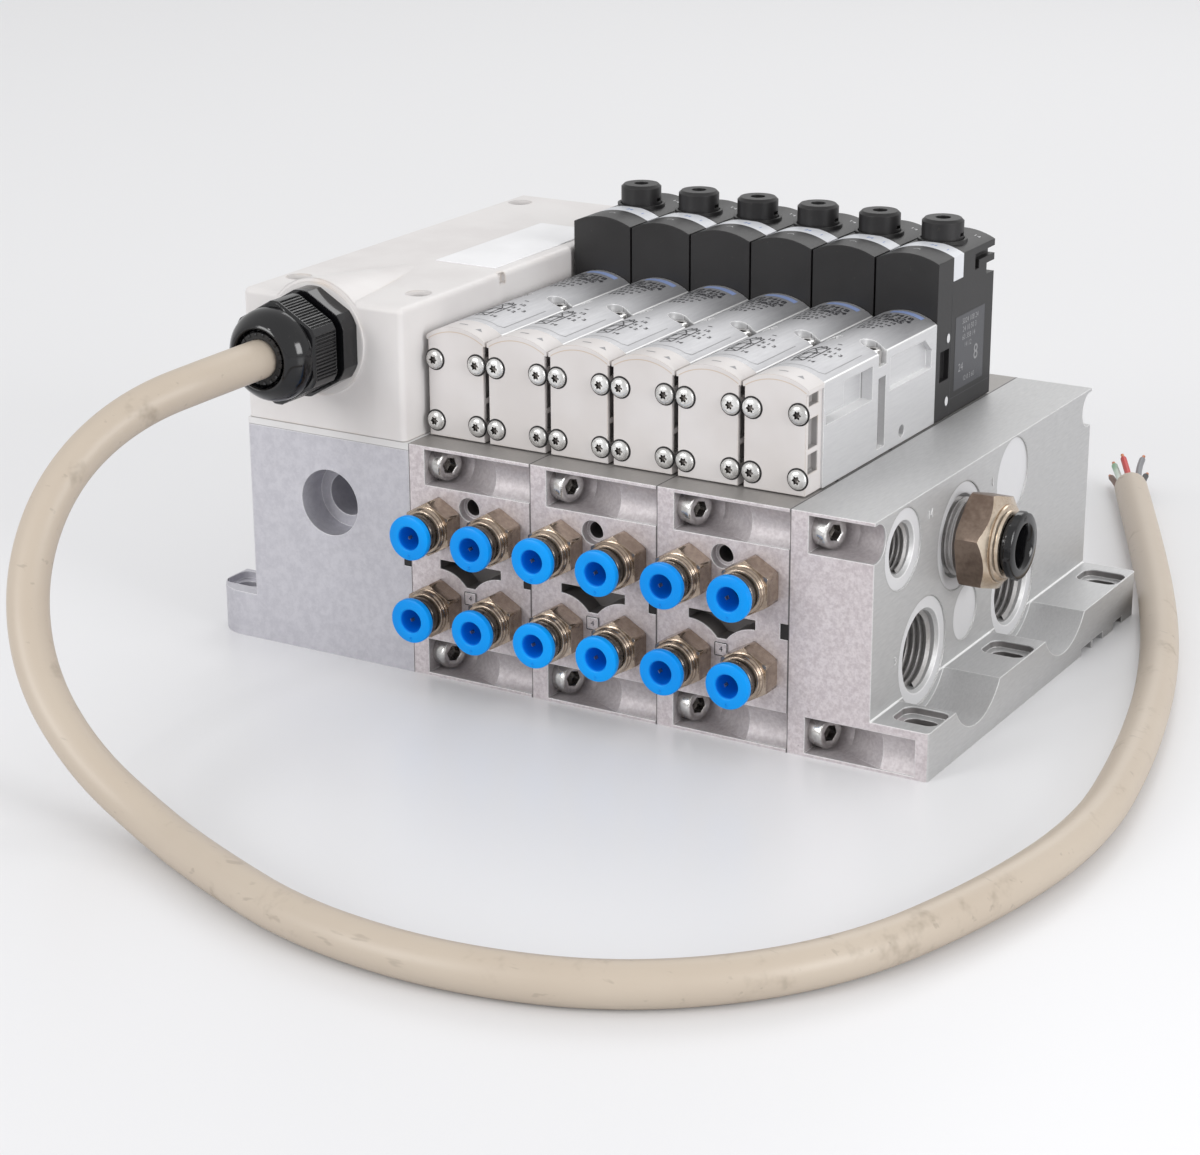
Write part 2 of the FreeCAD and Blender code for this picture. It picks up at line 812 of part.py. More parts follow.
def valve_end_cap(centre):
    """The plastic cap on a valve's front with its ribbed sides."""
    start = valve_start
    cap = arched(centre, valve_width / 2, start, body_start, valve_base(), valve_shoulder, arch_rise)
    for side in (-1, 1):
        for z0, z1 in cap_recesses:
            limits = (cap_recess_inset, cap_length - cap_recess_wall, z0, z1)
            cap = cap.cut(side_box(centre, side, start, limits, cap_recess_depth))
        relief = (-overshoot, cap_length, -overshoot, valve_rise - cap_relief_drop)
        cap = cap.cut(side_box(centre, side, start, relief, cap_relief_depth))
    for x, z in cap_screw_places(centre):
        cap = cap.cut(rod(x, start - overshoot, z, Y_AXIS, cap_length + 2 * overshoot,
                          cap_screw_radius + fit))
    return cap


def cap_screw(x, z):
    """A pan head screw through the end cap into the valve body."""
    ease = 0.6
    profile = [(-cap_head_height, 0), (-cap_head_height, cap_head_radius - 2 * ease),
               (-cap_head_height + ease, cap_head_radius - ease / 2), (-ease, cap_head_radius),
               (0, cap_head_radius), (0, cap_screw_radius), (cap_screw_length, cap_screw_radius),
               (cap_screw_length, 0)]
    return turned(profile, V(x, valve_start, z), Y_AXIS)


def valve_screw(x, y):
    """A cap screw that holds a valve down on its block."""
    profile = [(height - valve_screw_grip, 0), (height - valve_screw_grip, cap_screw_radius),
               (valve_screw_seat, cap_screw_radius), (valve_screw_seat, valve_head_radius),
               (valve_screw_seat + valve_head_height, valve_head_radius),
               (valve_screw_seat + valve_head_height, 0)]
    return turned(profile, V(x, y, 0), Z_AXIS)


def valve_gasket(centre):
    """The flat rubber gasket under a valve."""
    half = valve_width / 2 - gasket_margin
    sheet = box(centre - half, body_start, height, centre + half, pilot_start, valve_base())
    for x, y in valve_screw_places(centre):
        sheet = sheet.cut(rod(x, y, height - overshoot, Z_AXIS, 2 * overshoot + gasket_thickness,
                              cap_screw_radius + fit))
    tab_half = valve_width / 2
    for offset in gasket_tabs:
        tab_start = body_start + offset
        tab = box(centre - tab_half, tab_start, height,
                  centre + tab_half, tab_start + gasket_tab_width, valve_base())
        sheet = sheet.fuse(tab)
    return sheet.removeSplitter()


# Pilot heads
def label_strip(centre, gap):
    """The white strip that arches over a pilot head and down its right side."""
    start = pilot_start + strip_start - gap
    end = start + strip_width + 2 * gap
    half = valve_width / 2
    inner = half - strip_thickness
    outer_shape = arched(centre, half, start, end, valve_base(), pilot_shoulder, pilot_arch_rise)
    under = pilot_shoulder - strip_thickness - gap
    inner_shape = arched(centre, inner, start - overshoot, end + overshoot, valve_base() - overshoot,
                         under, pilot_arch_rise)
    band = outer_shape.cut(inner_shape)
    low = pilot_shoulder - strip_drop
    keep = box(centre - inner, start - overshoot, low - gap, centre + 2 * half, end + overshoot,
               pilot_shoulder + 2 * pilot_arch_rise)
    collar_room = rod(centre, knob_y, low - gap - overshoot, Z_AXIS,
                      strip_drop + 2 * pilot_arch_rise, knob_collar_radius + fit - gap)
    return band.common(keep).cut(collar_room)


def pilot_head(centre):
    """The black pilot head with its slots and the seat of the override."""
    start = pilot_start
    head = arched(centre, valve_width / 2, start, pilot_end, valve_base(), pilot_shoulder, pilot_arch_rise)
    for side in (-1, 1):
        head = head.cut(side_box(centre, side, start, latch_slot, latch_depth))
        head = head.cut(side_box(centre, side, start, l_slot, l_slot_depth))
        head = head.cut(side_box(centre, side, start, l_slot_leg, l_slot_depth))
        head = head.cut(side_box(centre, side, start, rear_notch, rear_notch_depth))
    head = head.cut(label_strip(centre, fit))
    crown = pilot_shoulder + pilot_arch_rise
    collar = rod(centre, knob_y, pilot_shoulder - 2 * overshoot, Z_AXIS,
                 2 * overshoot + pilot_arch_rise + collar_lift, knob_collar_radius)
    head = joined([head, collar])
    floor = knob_floor() - press_travel - press_reserve
    head = head.cut(rod(centre, knob_y, floor, Z_AXIS, crown + height - floor, knob_pocket_radius))
    stem_floor = stem_bottom() - press_travel - press_reserve
    return head.cut(rod(centre, knob_y, stem_floor, Z_AXIS, crown - stem_floor, stem_radius + fit))


def knob_floor():
    """The underside of an override knob at rest."""
    return knob_top - knob_length


def stem_bottom():
    """The lower end of an override stem at rest."""
    return knob_top - knob_hole_depth - stem_length


def override_knob(centre):
    """The black knob of the manual override, with a hole down its middle."""
    bore = stem_radius + fit
    profile = [(knob_floor(), bore), (knob_floor(), knob_radius), (knob_top - knob_chamfer, knob_radius),
               (knob_top, knob_radius - knob_chamfer), (knob_top, knob_hole_radius),
               (knob_top - knob_hole_depth, knob_hole_radius), (knob_top - knob_hole_depth, bore)]
    knob = turned(profile, V(centre, knob_y, 0), Z_AXIS)
    notch_low = knob_floor() + 1.6
    notch = box(centre + knob_radius - 1.0, knob_y - 1.1, notch_low,
                centre + knob_radius + overshoot, knob_y + 1.1, notch_low + 0.9)
    return knob.cut(notch)


def override_stem(centre):
    """The push rod inside the knob."""
    top = stem_bottom() + stem_length
    slot = box(centre - 0.3, knob_y - stem_radius, top - 0.8,
               centre + 0.3, knob_y + stem_radius, top + overshoot)
    return rod(centre, knob_y, stem_bottom(), Z_AXIS, stem_length, stem_radius).cut(slot)


# Hood
def hood_limits():
    """Left, right, bottom and top of the hood."""
    return row_left, blocks_left - hood_gap, height, hood_top


def hood_screw_places():
    """X and Y of the four screws of the hood."""
    left, right, bottom, top = hood_limits()
    places = []
    for x in (left + hood_screw_side, right - hood_screw_side):
        for y in (front + hood_screw_front, back - hood_screw_back):
            places.append((x, y))
    return places


def gland_place():
    """Where the cable's centre line crosses the hood's front face."""
    return row_left + gland_x_inset, front, hood_top - gland_drop


def electronics_hood():
    """The moulded hood, open below, with a cowl round the cable entry."""
    left, right, bottom, top = hood_limits()
    x, y, z = gland_place()
    shell = box(left, front, bottom, right, back, top)
    rounded = []
    for edge in shell.Edges:
        if edge.CenterOfMass.z > bottom + overshoot:
            rounded.append(edge)
    shell = shell.makeFillet(hood_edge, rounded)
    rise = top - z
    cowl = Part.makeCone(cowl_radius, rise, cowl_length, V(x, y, z), Y_AXIS)
    cavity = box(left + hood_wall, front + hood_wall, bottom - overshoot,
                 right - hood_wall, back - hood_wall, top - hood_wall)
    hollow = Part.makeCone(cowl_radius - hood_wall, rise - hood_wall, cowl_length,
                           V(x, y + hood_wall, z), Y_AXIS)
    shell = shell.fuse(cowl).removeSplitter().cut(cavity.fuse(hollow))
    posts = []
    for px, py in hood_screw_places():
        posts.append(rod(px, py, bottom, Z_AXIS, top - bottom - hood_edge, hood_post_radius))
    inside = box(left + hood_wall / 2, front + hood_wall / 2, bottom, right - hood_wall / 2,
                 back - hood_wall / 2, top - hood_wall / 2)
    shell = shell.fuse([post.common(inside) for post in posts])
    seat = rod(x, y + hood_wall, z, V(0, -1, 0), hood_wall + seat_thickness, seat_radius)
    shell = shell.fuse(seat).removeSplitter()
    shell = shell.cut(rod(x, y - 2 * overshoot, z, Y_AXIS, hood_wall + 3 * overshoot,
                          gland_neck_radius + fit))
    for px, py in hood_screw_places():
        shell = shell.cut(rod(px, py, bottom - overshoot, Z_AXIS, top, hood_screw_radius + fit))
        shell = shell.cut(rod(px, py, top - hood_recess_depth, Z_AXIS, top, hood_recess_radius))
    notch_y = front + side_notch_inset
    notch = box(right - side_notch_depth, notch_y - side_notch_width / 2, top - side_notch_height,
                right + overshoot, notch_y + side_notch_width / 2, top - hood_edge / 4)
    return shell.cut(notch)


def hood_screw(x, y):
    """A screw from the hood down into the end plate."""
    seat = hood_top - hood_recess_depth
    end = height - frame_thickness - frame_screw_grip + fit
    profile = [(end, 0), (end, hood_screw_radius), (seat, hood_screw_radius), (seat, hood_head_radius),
               (seat + hood_recess_depth / 2, hood_head_radius), (seat + hood_recess_depth / 2, 0)]
    return turned(profile, V(x, y, 0), Z_AXIS)


def connector_frame():
    """The thin frame between the end plate and the hood."""
    frame = box(row_left, front, height - frame_thickness, blocks_left, back, height)
    for x, y in hood_screw_places():
        frame = frame.cut(rod(x, y, height - 2 * frame_thickness, Z_AXIS, 4 * frame_thickness,
                              hood_screw_radius + fit))
    posts = []
    for x, y in board_posts():
        posts.append(rod(x, y, height - frame_thickness, Z_AXIS, frame_thickness + board_stand_off,
                         board_post_radius))
    return joined([frame] + posts)


def board_limits():
    """Left, right, front and back of the board, clear of the hood's posts."""
    left, right, bottom, top = hood_limits()
    clear = hood_post_radius + board_clearance
    return (left + hood_wall + board_clearance, right - hood_wall - board_clearance,
            front + hood_screw_front + clear, back - hood_screw_back - clear)


def board_posts():
    """X and Y of the four posts under the board."""
    x0, x1, y0, y1 = board_limits()
    places = []
    for x in (x0 + board_post_inset, x1 - board_post_inset):
        for y in (y0 + board_post_inset, y1 - board_post_inset):
            places.append((x, y))
    return places


def interface_board():
    """The circuit board inside the hood with its terminal row."""
    x0, x1, y0, y1 = board_limits()
    low = height + board_stand_off
    top = low + board_thickness
    board = box(x0, y0, low, x1, y1, top)
    rack_left = x0 + 2 * board_post_inset
    rack = box(rack_left, y0 + rack_margin, top, rack_left + rack_width, y1 - rack_margin, top + rack_height)
    return joined([board, rack])


# Cable gland
def gland_body():
    """The hexagon, its threaded neck and the spigot through the hood's wall."""
    x, y, z = gland_place()
    out = V(0, -1, 0)
    start = y - seat_thickness
    bar = hexagon(V(x, start, z), out, gland_hex_across, gland_hex_length, gland_turn)
    bar = bar.common(rod(x, start, z, out, gland_hex_length, gland_corner_radius))
    neck = rod(x, start - gland_hex_length, z, out, gland_gap + gland_neck_length, gland_neck_radius)
    spigot = rod(x, start, z, Y_AXIS, spigot_inside + seat_thickness, gland_neck_radius)
    body = joined([bar, neck, spigot])
    total = gland_hex_length + gland_gap + gland_neck_length + spigot_inside + seat_thickness
    bore_start = start - gland_hex_length - gland_gap - gland_neck_length
    return body.cut(rod(x, bore_start - overshoot, z, Y_AXIS, total + 2 * overshoot, gland_bore_radius))


def nut_start():
    """The Y place of the dome nut's inner end."""
    return front - seat_thickness - gland_hex_length - gland_gap


def gland_dome_nut():
    """The ribbed nut with its glossy dome."""
    x, y, z = gland_place()
    out = V(0, -1, 0)
    place = V(x, nut_start(), z)
    bar = hexagon(place, out, nut_across, nut_length, gland_turn)
    bar = bar.common(rod(x, nut_start(), z, out, nut_length, nut_corner_radius))
    onto_axis = FreeCAD.Placement(place, FreeCAD.Rotation(Z_AXIS, out))
    grooves = []
    for flat in range(6):
        turn = 60 * flat + 30 + gland_turn
        for step in range(ribs_per_flat):
            offset = (step - (ribs_per_flat - 1) / 2) * rib_pitch
            groove = box(nut_across / 2 - rib_groove_depth, offset - rib_groove_width / 2, overshoot,
                         nut_across, offset + rib_groove_width / 2, nut_length - overshoot)
            groove.rotate(V(0, 0, 0), Z_AXIS, turn)
            groove.Placement = onto_axis.multiply(groove.Placement)
            grooves.append(groove)
    bar = bar.cut(one(grooves))
    end = nut_length + dome_length
    rise = nut_length + dome_length * 0.45
    start_point = V(0, 0, nut_length)
    rim = V(dome_radius, 0, nut_length)
    shoulder = V(dome_radius - 0.9, 0, rise)
    mouth = V(dome_mouth_radius + 1.2, 0, end)
    curve = Part.Arc(rim, shoulder, mouth).toShape()
    edges = [Part.makeLine(start_point, rim), curve, Part.makeLine(mouth, V(0, 0, end)),
             Part.makeLine(V(0, 0, end), start_point)]
    dome = Part.Face(Part.Wire(edges)).revolve(V(0, 0, 0), Z_AXIS, 360)
    dome.Placement = FreeCAD.Placement(place, FreeCAD.Rotation(Z_AXIS, out))
    nut = joined([bar, dome])
    thread = rod(x, nut_start() + overshoot, z, out, overshoot + gland_neck_length + fit,
                 gland_neck_radius + fit)
    bore = rod(x, nut_start(), z, out, end + overshoot, dome_bore_radius)
    return nut.cut(thread).cut(bore)


def gland_seal():
    """The rubber sleeve that grips the cable."""
    x, y, z = gland_place()
    out = V(0, -1, 0)
    length = gland_neck_length + dome_length - overshoot
    sleeve = rod(x, nut_start(), z, out, length, dome_bore_radius - fit)
    return sleeve.cut(rod(x, nut_start() + overshoot, z, out, length + 2 * overshoot, cable_radius))


# Cable
def cable():
    """The cable as straight runs joined by tangent arcs."""
    x, y, z = gland_place()
    points = [V(x, nut_start() - cable_start, z)] + [V(*point) for point in cable_route]
    edges = []
    here = points[0]
    for before, corner, after in zip(points, points[1:], points[2:]):
        into = (corner - before).normalize()
        out = (after - corner).normalize()
        turn = into.getAngle(out)
        run = min((corner - before).Length, (after - corner).Length)
        cut_back = 0.45 * run
        radius = cut_back / math.tan(turn / 2)
        print("cable turn %5.1f deg, radius %6.1f mm" % (math.degrees(turn), radius))
        start = corner - into * cut_back
        end = corner + out * cut_back
        inward = (out - into).normalize()
        sag = radius / math.cos(turn / 2) - radius
        edges.append(Part.LineSegment(here, start).toShape())
        edges.append(Part.Arc(start, corner + inward * sag, end).toShape())
        here = end
    edges.append(Part.LineSegment(here, points[-1]).toShape())
    path = Part.Wire(edges)
    ring = Part.Wire(Part.makeCircle(cable_radius, points[0], points[1] - points[0]))
    tube = path.makePipeShell([ring], True, False)
    expected = math.pi * cable_radius ** 2 * path.Length
    print("cable length %.1f mm" % path.Length)
    print("cable volume over section times length %.4f" % (tube.Volume / expected))
    return tube


def cable_cores():
    """The cut ends of the wires at the cable's free end."""
    end = V(*cable_route[-1])
    ahead = (end - V(*cable_route[-2])).normalize()
    across = ahead.cross(Z_AXIS).normalize()
    cores = []
    for index in range(core_count):
        angle = 2 * math.pi * index / core_count
        offset = across * (core_circle * math.cos(angle)) + Z_AXIS * (core_circle * math.sin(angle))
        length = core_length + core_step * (index % 3)
        cores.append(Part.makeCylinder(core_radius, length, end + offset, ahead))
    return one(cores)


def build_nodes():
    """Every named piece of the valve island."""
    nodes = {"left_end_plate": left_end_plate(), "connector_frame": connector_frame()}
    nodes["electronics_hood"] = electronics_hood()
    nodes["hood_screws"] = one([hood_screw(x, y) for x, y in hood_screw_places()])
    nodes["interface_board"] = interface_board()
    nodes["gland_body"] = gland_body()
    nodes["gland_dome_nut"] = gland_dome_nut()
    nodes["gland_seal"] = gland_seal()
    nodes["cable"] = cable()
    nodes["cable_cores"] = cable_cores()
    bodies = []
    ring_number = 0
    for step in range(block_count):
        left = blocks_left + step * block_width
        nodes["manifold_block_%d" % (step + 1)] = manifold_block(left)
        for x, z in port_places(left):
            ring_number += 1
            bodies.append(push_in_body(x, z))
            nodes["release_ring_%02d" % ring_number] = release_ring(x, z)
    nodes["push_in_bodies"] = one(bodies)
    nodes["block_seals"] = one([block_seal(seam) for seam in seams()])
    nodes["tie_screws"] = one([tie_screw(seam, y, z) for seam in seams() for y, z in tie_rows()])
    nodes["right_end_plate"] = right_end_plate()
    nodes["supply_fitting"] = supply_fitting()
    nodes["supply_release_ring"] = supply_release_ring()
    centres = valve_centres()
    nodes["valve_end_caps"] = one([valve_end_cap(centre) for centre in centres])
    nodes["valve_seals"] = one([valve_gasket(centre) for centre in centres])
    nodes["label_strips"] = one([label_strip(centre, 0) for centre in centres])
    nodes["cap_screws"] = one([cap_screw(x, z) for centre in centres for x, z in cap_screw_places(centre)])
    screws = [valve_screw(x, y) for centre in centres for x, y in valve_screw_places(centre)]
    nodes["valve_screws"] = one(screws)
    for number, centre in enumerate(centres, start=1):
        nodes["valve_body_%d" % number] = valve_body(centre)
        nodes["pilot_head_%d" % number] = pilot_head(centre)
        nodes["override_knob_%d" % number] = override_knob(centre)
        nodes["override_stem_%d" % number] = override_stem(centre)
    return nodes


def main():
    """Write one file for each piece and print what was made."""
    os.makedirs("parts", exist_ok=True)
    nodes = build_nodes()
    for name, shape in nodes.items():
        if not shape.isValid():
            print("not valid:", name)
        shape.exportStep("parts/%s.step" % name)
        bounds = shape.BoundBox
        print("%-22s %3d solids %10.1f mm3  x %.1f..%.1f y %.1f..%.1f z %.1f..%.1f" % (
            name, len(shape.Solids), shape.Volume, bounds.XMin, bounds.XMax,
            bounds.YMin, bounds.YMax, bounds.ZMin, bounds.ZMax))
    print(len(nodes), "nodes")


main()
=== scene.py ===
# %% [markdown]
# # A pneumatic valve island
#
# The object is a row of three metal blocks between two end plates. Six slim valves stand
# on the blocks, push-in fittings for air tubes face the front, and a hood at the left end
# takes a thick round cable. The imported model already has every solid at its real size, so
# it is loaded as a fixed frame. This script gives its surfaces their finishes and adds
# the small forms that a solid model leaves out, such as threads, printed signs and the
# recesses of the screws.

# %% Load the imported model
import json
from math import atan2, ceil, cos, pi, radians, sin, sqrt, tan, tau

import bmesh
import bpy
from mathutils import Matrix, Vector


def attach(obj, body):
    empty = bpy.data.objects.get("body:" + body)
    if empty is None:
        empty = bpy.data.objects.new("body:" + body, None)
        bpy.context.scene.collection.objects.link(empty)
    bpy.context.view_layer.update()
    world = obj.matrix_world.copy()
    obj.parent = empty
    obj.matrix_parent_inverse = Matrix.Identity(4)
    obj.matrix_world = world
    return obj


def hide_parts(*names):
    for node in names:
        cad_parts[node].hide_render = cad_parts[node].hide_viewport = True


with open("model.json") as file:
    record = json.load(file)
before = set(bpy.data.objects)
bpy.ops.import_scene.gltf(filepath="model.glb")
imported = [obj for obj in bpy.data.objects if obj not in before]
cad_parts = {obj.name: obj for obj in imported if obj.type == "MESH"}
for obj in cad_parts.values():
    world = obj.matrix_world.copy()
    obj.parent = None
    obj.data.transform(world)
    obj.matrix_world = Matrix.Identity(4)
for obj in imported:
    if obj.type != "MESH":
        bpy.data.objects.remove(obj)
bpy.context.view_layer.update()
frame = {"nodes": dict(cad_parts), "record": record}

# %% [markdown]
# ## Camera
#
# The place and the lens were worked out from straight edges whose real size is known,
# such as the six valves at their 19 mm pitch. A long lens from about 0.8 m away keeps
# the edges of the row nearly parallel. Depth of field stays off, so that every view of
# the part is sharp.

# %% Camera at the photograph's angle
def shown(name, data):
    """An object in the scene with the given data."""
    made = bpy.data.objects.new(name, data)
    bpy.context.scene.collection.objects.link(made)
    return made


eye = Vector((0.3740, -0.6698, 0.2808))
looked_at = Vector((-0.0186, -0.0110, 0.0132))
lens = bpy.data.cameras.new("camera")
lens.lens = 85.52
lens.sensor_fit = "HORIZONTAL"
lens.sensor_width = 36.0
camera = shown("camera", lens)
aim = (looked_at - eye).to_track_quat("-Z", "Y").to_matrix()
camera.matrix_world = Matrix.Translation(eye) @ (aim @ Matrix.Rotation(-0.005, 3, "Z")).to_4x4()
bpy.context.scene.camera = camera
print("camera is", round((eye - looked_at).length, 3), "m from the object")

# %% [markdown]
# ## Cable
#
# The cable is a round sheath 10.5 mm thick. It leaves the gland level, falls to the
# table in front of the hood and runs in one wide loose curve round the right end to its
# cut end behind. A rod bent by hand would show its corners, so the line is a NURBS
# spline: the points pull the line towards them and it passes between them smoothly. The
# thickness sits in the points, because a curve's box grows by the radius of its points.

# %% Route of the cable
cable_route = [
    (-70.5, -81.0, 90.3), (-70.5, -111.0, 90.3), (-81.5, -137.0, 85.0), (-87.5, -158.0, 71.5),
    (-85.5, -174.5, 52.0), (-74.8, -185.5, 31.6), (-56.0, -191.0, 14.9), (-30.0, -196.5, 5.3),
    (-5.0, -208.0, 5.3), (30.0, -221.0, 5.3), (70.0, -223.0, 5.3), (109.0, -211.0, 5.3),
    (140.0, -180.0, 5.3), (155.0, -135.0, 5.3), (161.0, -90.0, 5.3), (154.0, -43.0, 5.3),
    (142.0, 6.0, 5.3), (125.0, 55.0, 5.3), (99.5, 113.0, 5.3), (73.0, 169.0, 5.3),
]
cable_radius = 5.25

# %% A round bar along a smooth line
def bar_along(name, route, radius, order=3):
    """A round bar whose centre line is a NURBS spline through its route, in millimetres."""
    curve = bpy.data.curves.new(name, "CURVE")
    curve.dimensions = "3D"
    curve.bevel_depth = 1.0
    curve.bevel_resolution = 6
    curve.resolution_u = 16
    curve.use_fill_caps = True
    line = curve.splines.new("NURBS")
    line.points.add(len(route) - 1)
    for point, place in zip(line.points, route):
        point.co = (place[0] / 1000, place[1] / 1000, place[2] / 1000, 1.0)
        point.radius = radius / 1000
    line.order_u = order
    line.use_endpoint_u = True
    return shown(name, curve)


cable = bar_along("cable_sheath", cable_route, cable_radius)
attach(cable, "base")
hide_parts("cable")
print("cable points:", len(cable_route))

# %% [markdown]
# ## Wires at the cut end
#
# Seven thin wires stand out of the sheath by about 15 mm, each with its own colour and a
# bright copper tip. Each is a short smooth bar that spreads away from its neighbours,
# and the last three millimetres are a second, thinner bar of copper. The plan gives each
# wire's reach, its lean to the side, and the light and dark shade of its sleeve.

# %% Seven wires with copper tips
cut_end = Vector(cable_route[-1])
outward = (cut_end - Vector(cable_route[-2])).normalized()
across = outward.cross(Vector((0, 0, 1))).normalized()
upward = across.cross(outward)
wire_plan = [
    ("black", 13.0, 0.4, (34, 34, 36), (24, 24, 26)),
    ("grey", 17.5, 1.5, (128, 128, 132), (112, 112, 116)),
    ("red", 14.5, -0.3, (196, 46, 42), (168, 34, 32)),
    ("white", 16.0, 0.8, (226, 232, 226), (96, 160, 112)),
    ("brown", 18.0, 0.2, (112, 70, 44), (92, 56, 34)),
    ("yellow", 15.0, -0.6, (222, 196, 84), (150, 104, 52)),
    ("green", 12.5, 1.0, (150, 190, 150), (128, 172, 130)),
]
middle_wire = len(wire_plan) - 1
ring_of_wires = 3.2
wires, tips = [], []
for step, (colour, reach, lean, light, dark) in enumerate(wire_plan):
    angle = tau * step / len(wire_plan)
    middle = across * cos(angle) + upward * sin(angle)
    centre = 0 if step == middle_wire else ring_of_wires
    root = cut_end + middle * centre - outward * 6
    bend = cut_end + middle * (centre + 0.6) + outward * reach * 0.45
    end = cut_end + middle * (centre + 2.2) + outward * reach + across * lean
    end.z = max(end.z, 1.6)
    wires.append(bar_along("wire_" + colour, [root, bend, end], 1.0))
    along = (end - bend).normalized()
    tips.append(bar_along("wire_tip_" + colour, [end - along, end + along * 2.6], 0.55, order=2))
for bar in wires + tips:
    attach(bar, "base")
    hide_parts("cable_cores")
print("wires:", ", ".join(row[0] for row in wire_plan))

# %% [markdown]
# ## Writing shader maths as sums
#
# A finish is a small calculation at each point of a surface: noise for the mottle, a
# product for the wear at an edge. Joining nodes by hand hides the thought, so one class
# wraps a socket and lets `+`, `*` and the rest add their Math nodes. A second class
# holds a material and makes its other nodes.

# %% A socket that takes part in sums
def sum_method(operation, signal_last=False):
    """A method that adds one Math node for a signal and another value."""
    if signal_last:
        return lambda signal, other: signal.maths(operation, other, signal)
    return lambda signal, other: signal.maths(operation, signal, other)


class Signal:
    """One value at each point of a surface. An expression on it adds Math nodes."""
    __add__ = __radd__ = sum_method("ADD")
    __mul__ = __rmul__ = sum_method("MULTIPLY")
    __sub__ = sum_method("SUBTRACT")
    __rsub__ = sum_method("SUBTRACT", signal_last=True)
    __pow__ = sum_method("POWER")

    def __init__(self, finish, socket):
        self.finish = finish
        self.socket = socket

    def maths(self, operation, first, second):
        return self.finish.node("Math", {0: first, 1: second}, operation=operation)

    def repeated(self, half):
        """The distance to the nearest whole multiple of twice the given length."""
        return self.maths("PINGPONG", self, half)

    def band(self, low, high, first=0.0, last=1.0):
        """Moves a range of the signal to a new range and holds it beyond both ends."""
        ends = {"From Min": low, "From Max": high, "To Min": first, "To Max": last}
        return self.finish.node("MapRange", {"Value": self, **ends}, interpolation_type="SMOOTHSTEP")

    def inside(self, low, high, soft=0.3):
        """1 where the signal lies in a range, 0 outside it, with soft ends."""
        return self.band(low, low + soft) * self.band(high - soft, high, 1.0, 0.0)


# %% A material and its nodes
def paint(red, green, blue):
    """A screen colour, 0 to 255 in each part, as the linear colour that a shader takes."""
    parts = [value / 255 for value in (red, green, blue)]
    return tuple(part / 12.92 if part < 0.04045 else ((part + 0.055) / 1.055) ** 2.4
                 for part in parts) + (1.0,)


class Finish:
    """A material made step by step, with its patterns in the object's own millimetres."""

    def __init__(self, name, **fixed):
        self.name = name
        self.material = bpy.data.materials.new(name)
        self.material.use_nodes = True
        self.tree = self.material.node_tree
        self.shader = self.tree.nodes["Principled BSDF"]
        for label, value in fixed.items():
            self.shader.inputs[label.replace("_", " ")].default_value = value
        self.spot = self.node("TexCoord", out="Object")

    def node(self, kind, sockets=None, out=0, **settings):
        """Adds a node, with the values or links of its sockets and its settings."""
        made = self.tree.nodes.new("ShaderNode" + kind)
        for label, value in settings.items():
            setattr(made, label, value)
        for label, value in (sockets or {}).items():
            if isinstance(value, Signal):
                self.tree.links.new(value.socket, made.inputs[label])
            else:
                made.inputs[label].default_value = value
        return Signal(self, made.outputs[out])

    def feed(self, label, signal):
        """Links a signal to a socket of the surface."""
        self.tree.links.new(signal.socket, self.shader.inputs[label])

    def mapped(self, stretch=(1, 1, 1)):
        """The point on the object in millimetres, stretched along each axis."""
        scale = [1000 * part for part in stretch]
        return self.node("Mapping", {"Vector": self.spot, "Scale": scale})

    def noise(self, size, detail=3, rough=0.55, stretch=(1, 1, 1)):
        """Cloudy noise from 0 to 1 with patches about the given size in millimetres."""
        return self.node("TexNoise", {
            "Vector": self.mapped(stretch), "Scale": 1 / size, "Detail": detail, "Roughness": rough})

    def cells(self, size, stretch=(1, 1, 1)):
        """The distance to the nearest of scattered points the given size apart."""
        return self.node("TexVoronoi", {"Vector": self.mapped(stretch), "Scale": 1 / size})

    def mix(self, factor, first, second):
        """Blends two colours, each of them a signal or a screen colour from 0 to 255."""
        first, second = (paint(*colour) if isinstance(colour, tuple) else colour
                         for colour in (first, second))
        return self.node("Mix", {0: factor, 6: first, 7: second}, out=2, data_type="RGBA")

    def layered(self, colour, *layers):
        """Lays (factor, colour) pairs over a colour, one after another."""
        for factor, over in layers:
            colour = self.mix(factor, colour, over)
        return colour

    def along(self, axis):
        """The place on the object along X, Y or Z in millimetres."""
        return self.node("SeparateXYZ", {0: self.mapped()}, out=axis)

    def place(self):
        """The place on the object along X, along Y and along Z."""
        return [self.along(axis) for axis in (0, 1, 2)]

    def facing(self, axis):
        """How far the surface faces along X, Y or Z, from -1 to 1."""
        normal = self.node("NewGeometry", out="True Normal")
        return self.node("SeparateXYZ", {0: normal}, out=axis)

    def rims(self, width):
        """1 within the given distance in millimetres of an edge, 0 on the open surface."""
        round_normal = self.node("Bevel", {"Radius": width / 1000}, samples=4)
        plain = self.node("NewGeometry", out="True Normal")
        turn = self.node("VectorMath", {0: plain, 1: round_normal}, out="Value", operation="DOT_PRODUCT")
        return turn.band(0.93, 0.985, 1.0, 0.0)

    def relief(self, height, depth, rounding=0.0):
        """A bump of the given depth in millimetres, over edges softened by a small radius."""
        sockets = {"Height": height, "Distance": depth / 1000, "Strength": 1.0}
        if rounding:
            sockets["Normal"] = self.node("Bevel", {"Radius": rounding / 1000}, samples=4)
        self.feed("Normal", self.node("Bump", sockets))


print("a mid grey is", [round(part, 3) for part in paint(128, 128, 128)])

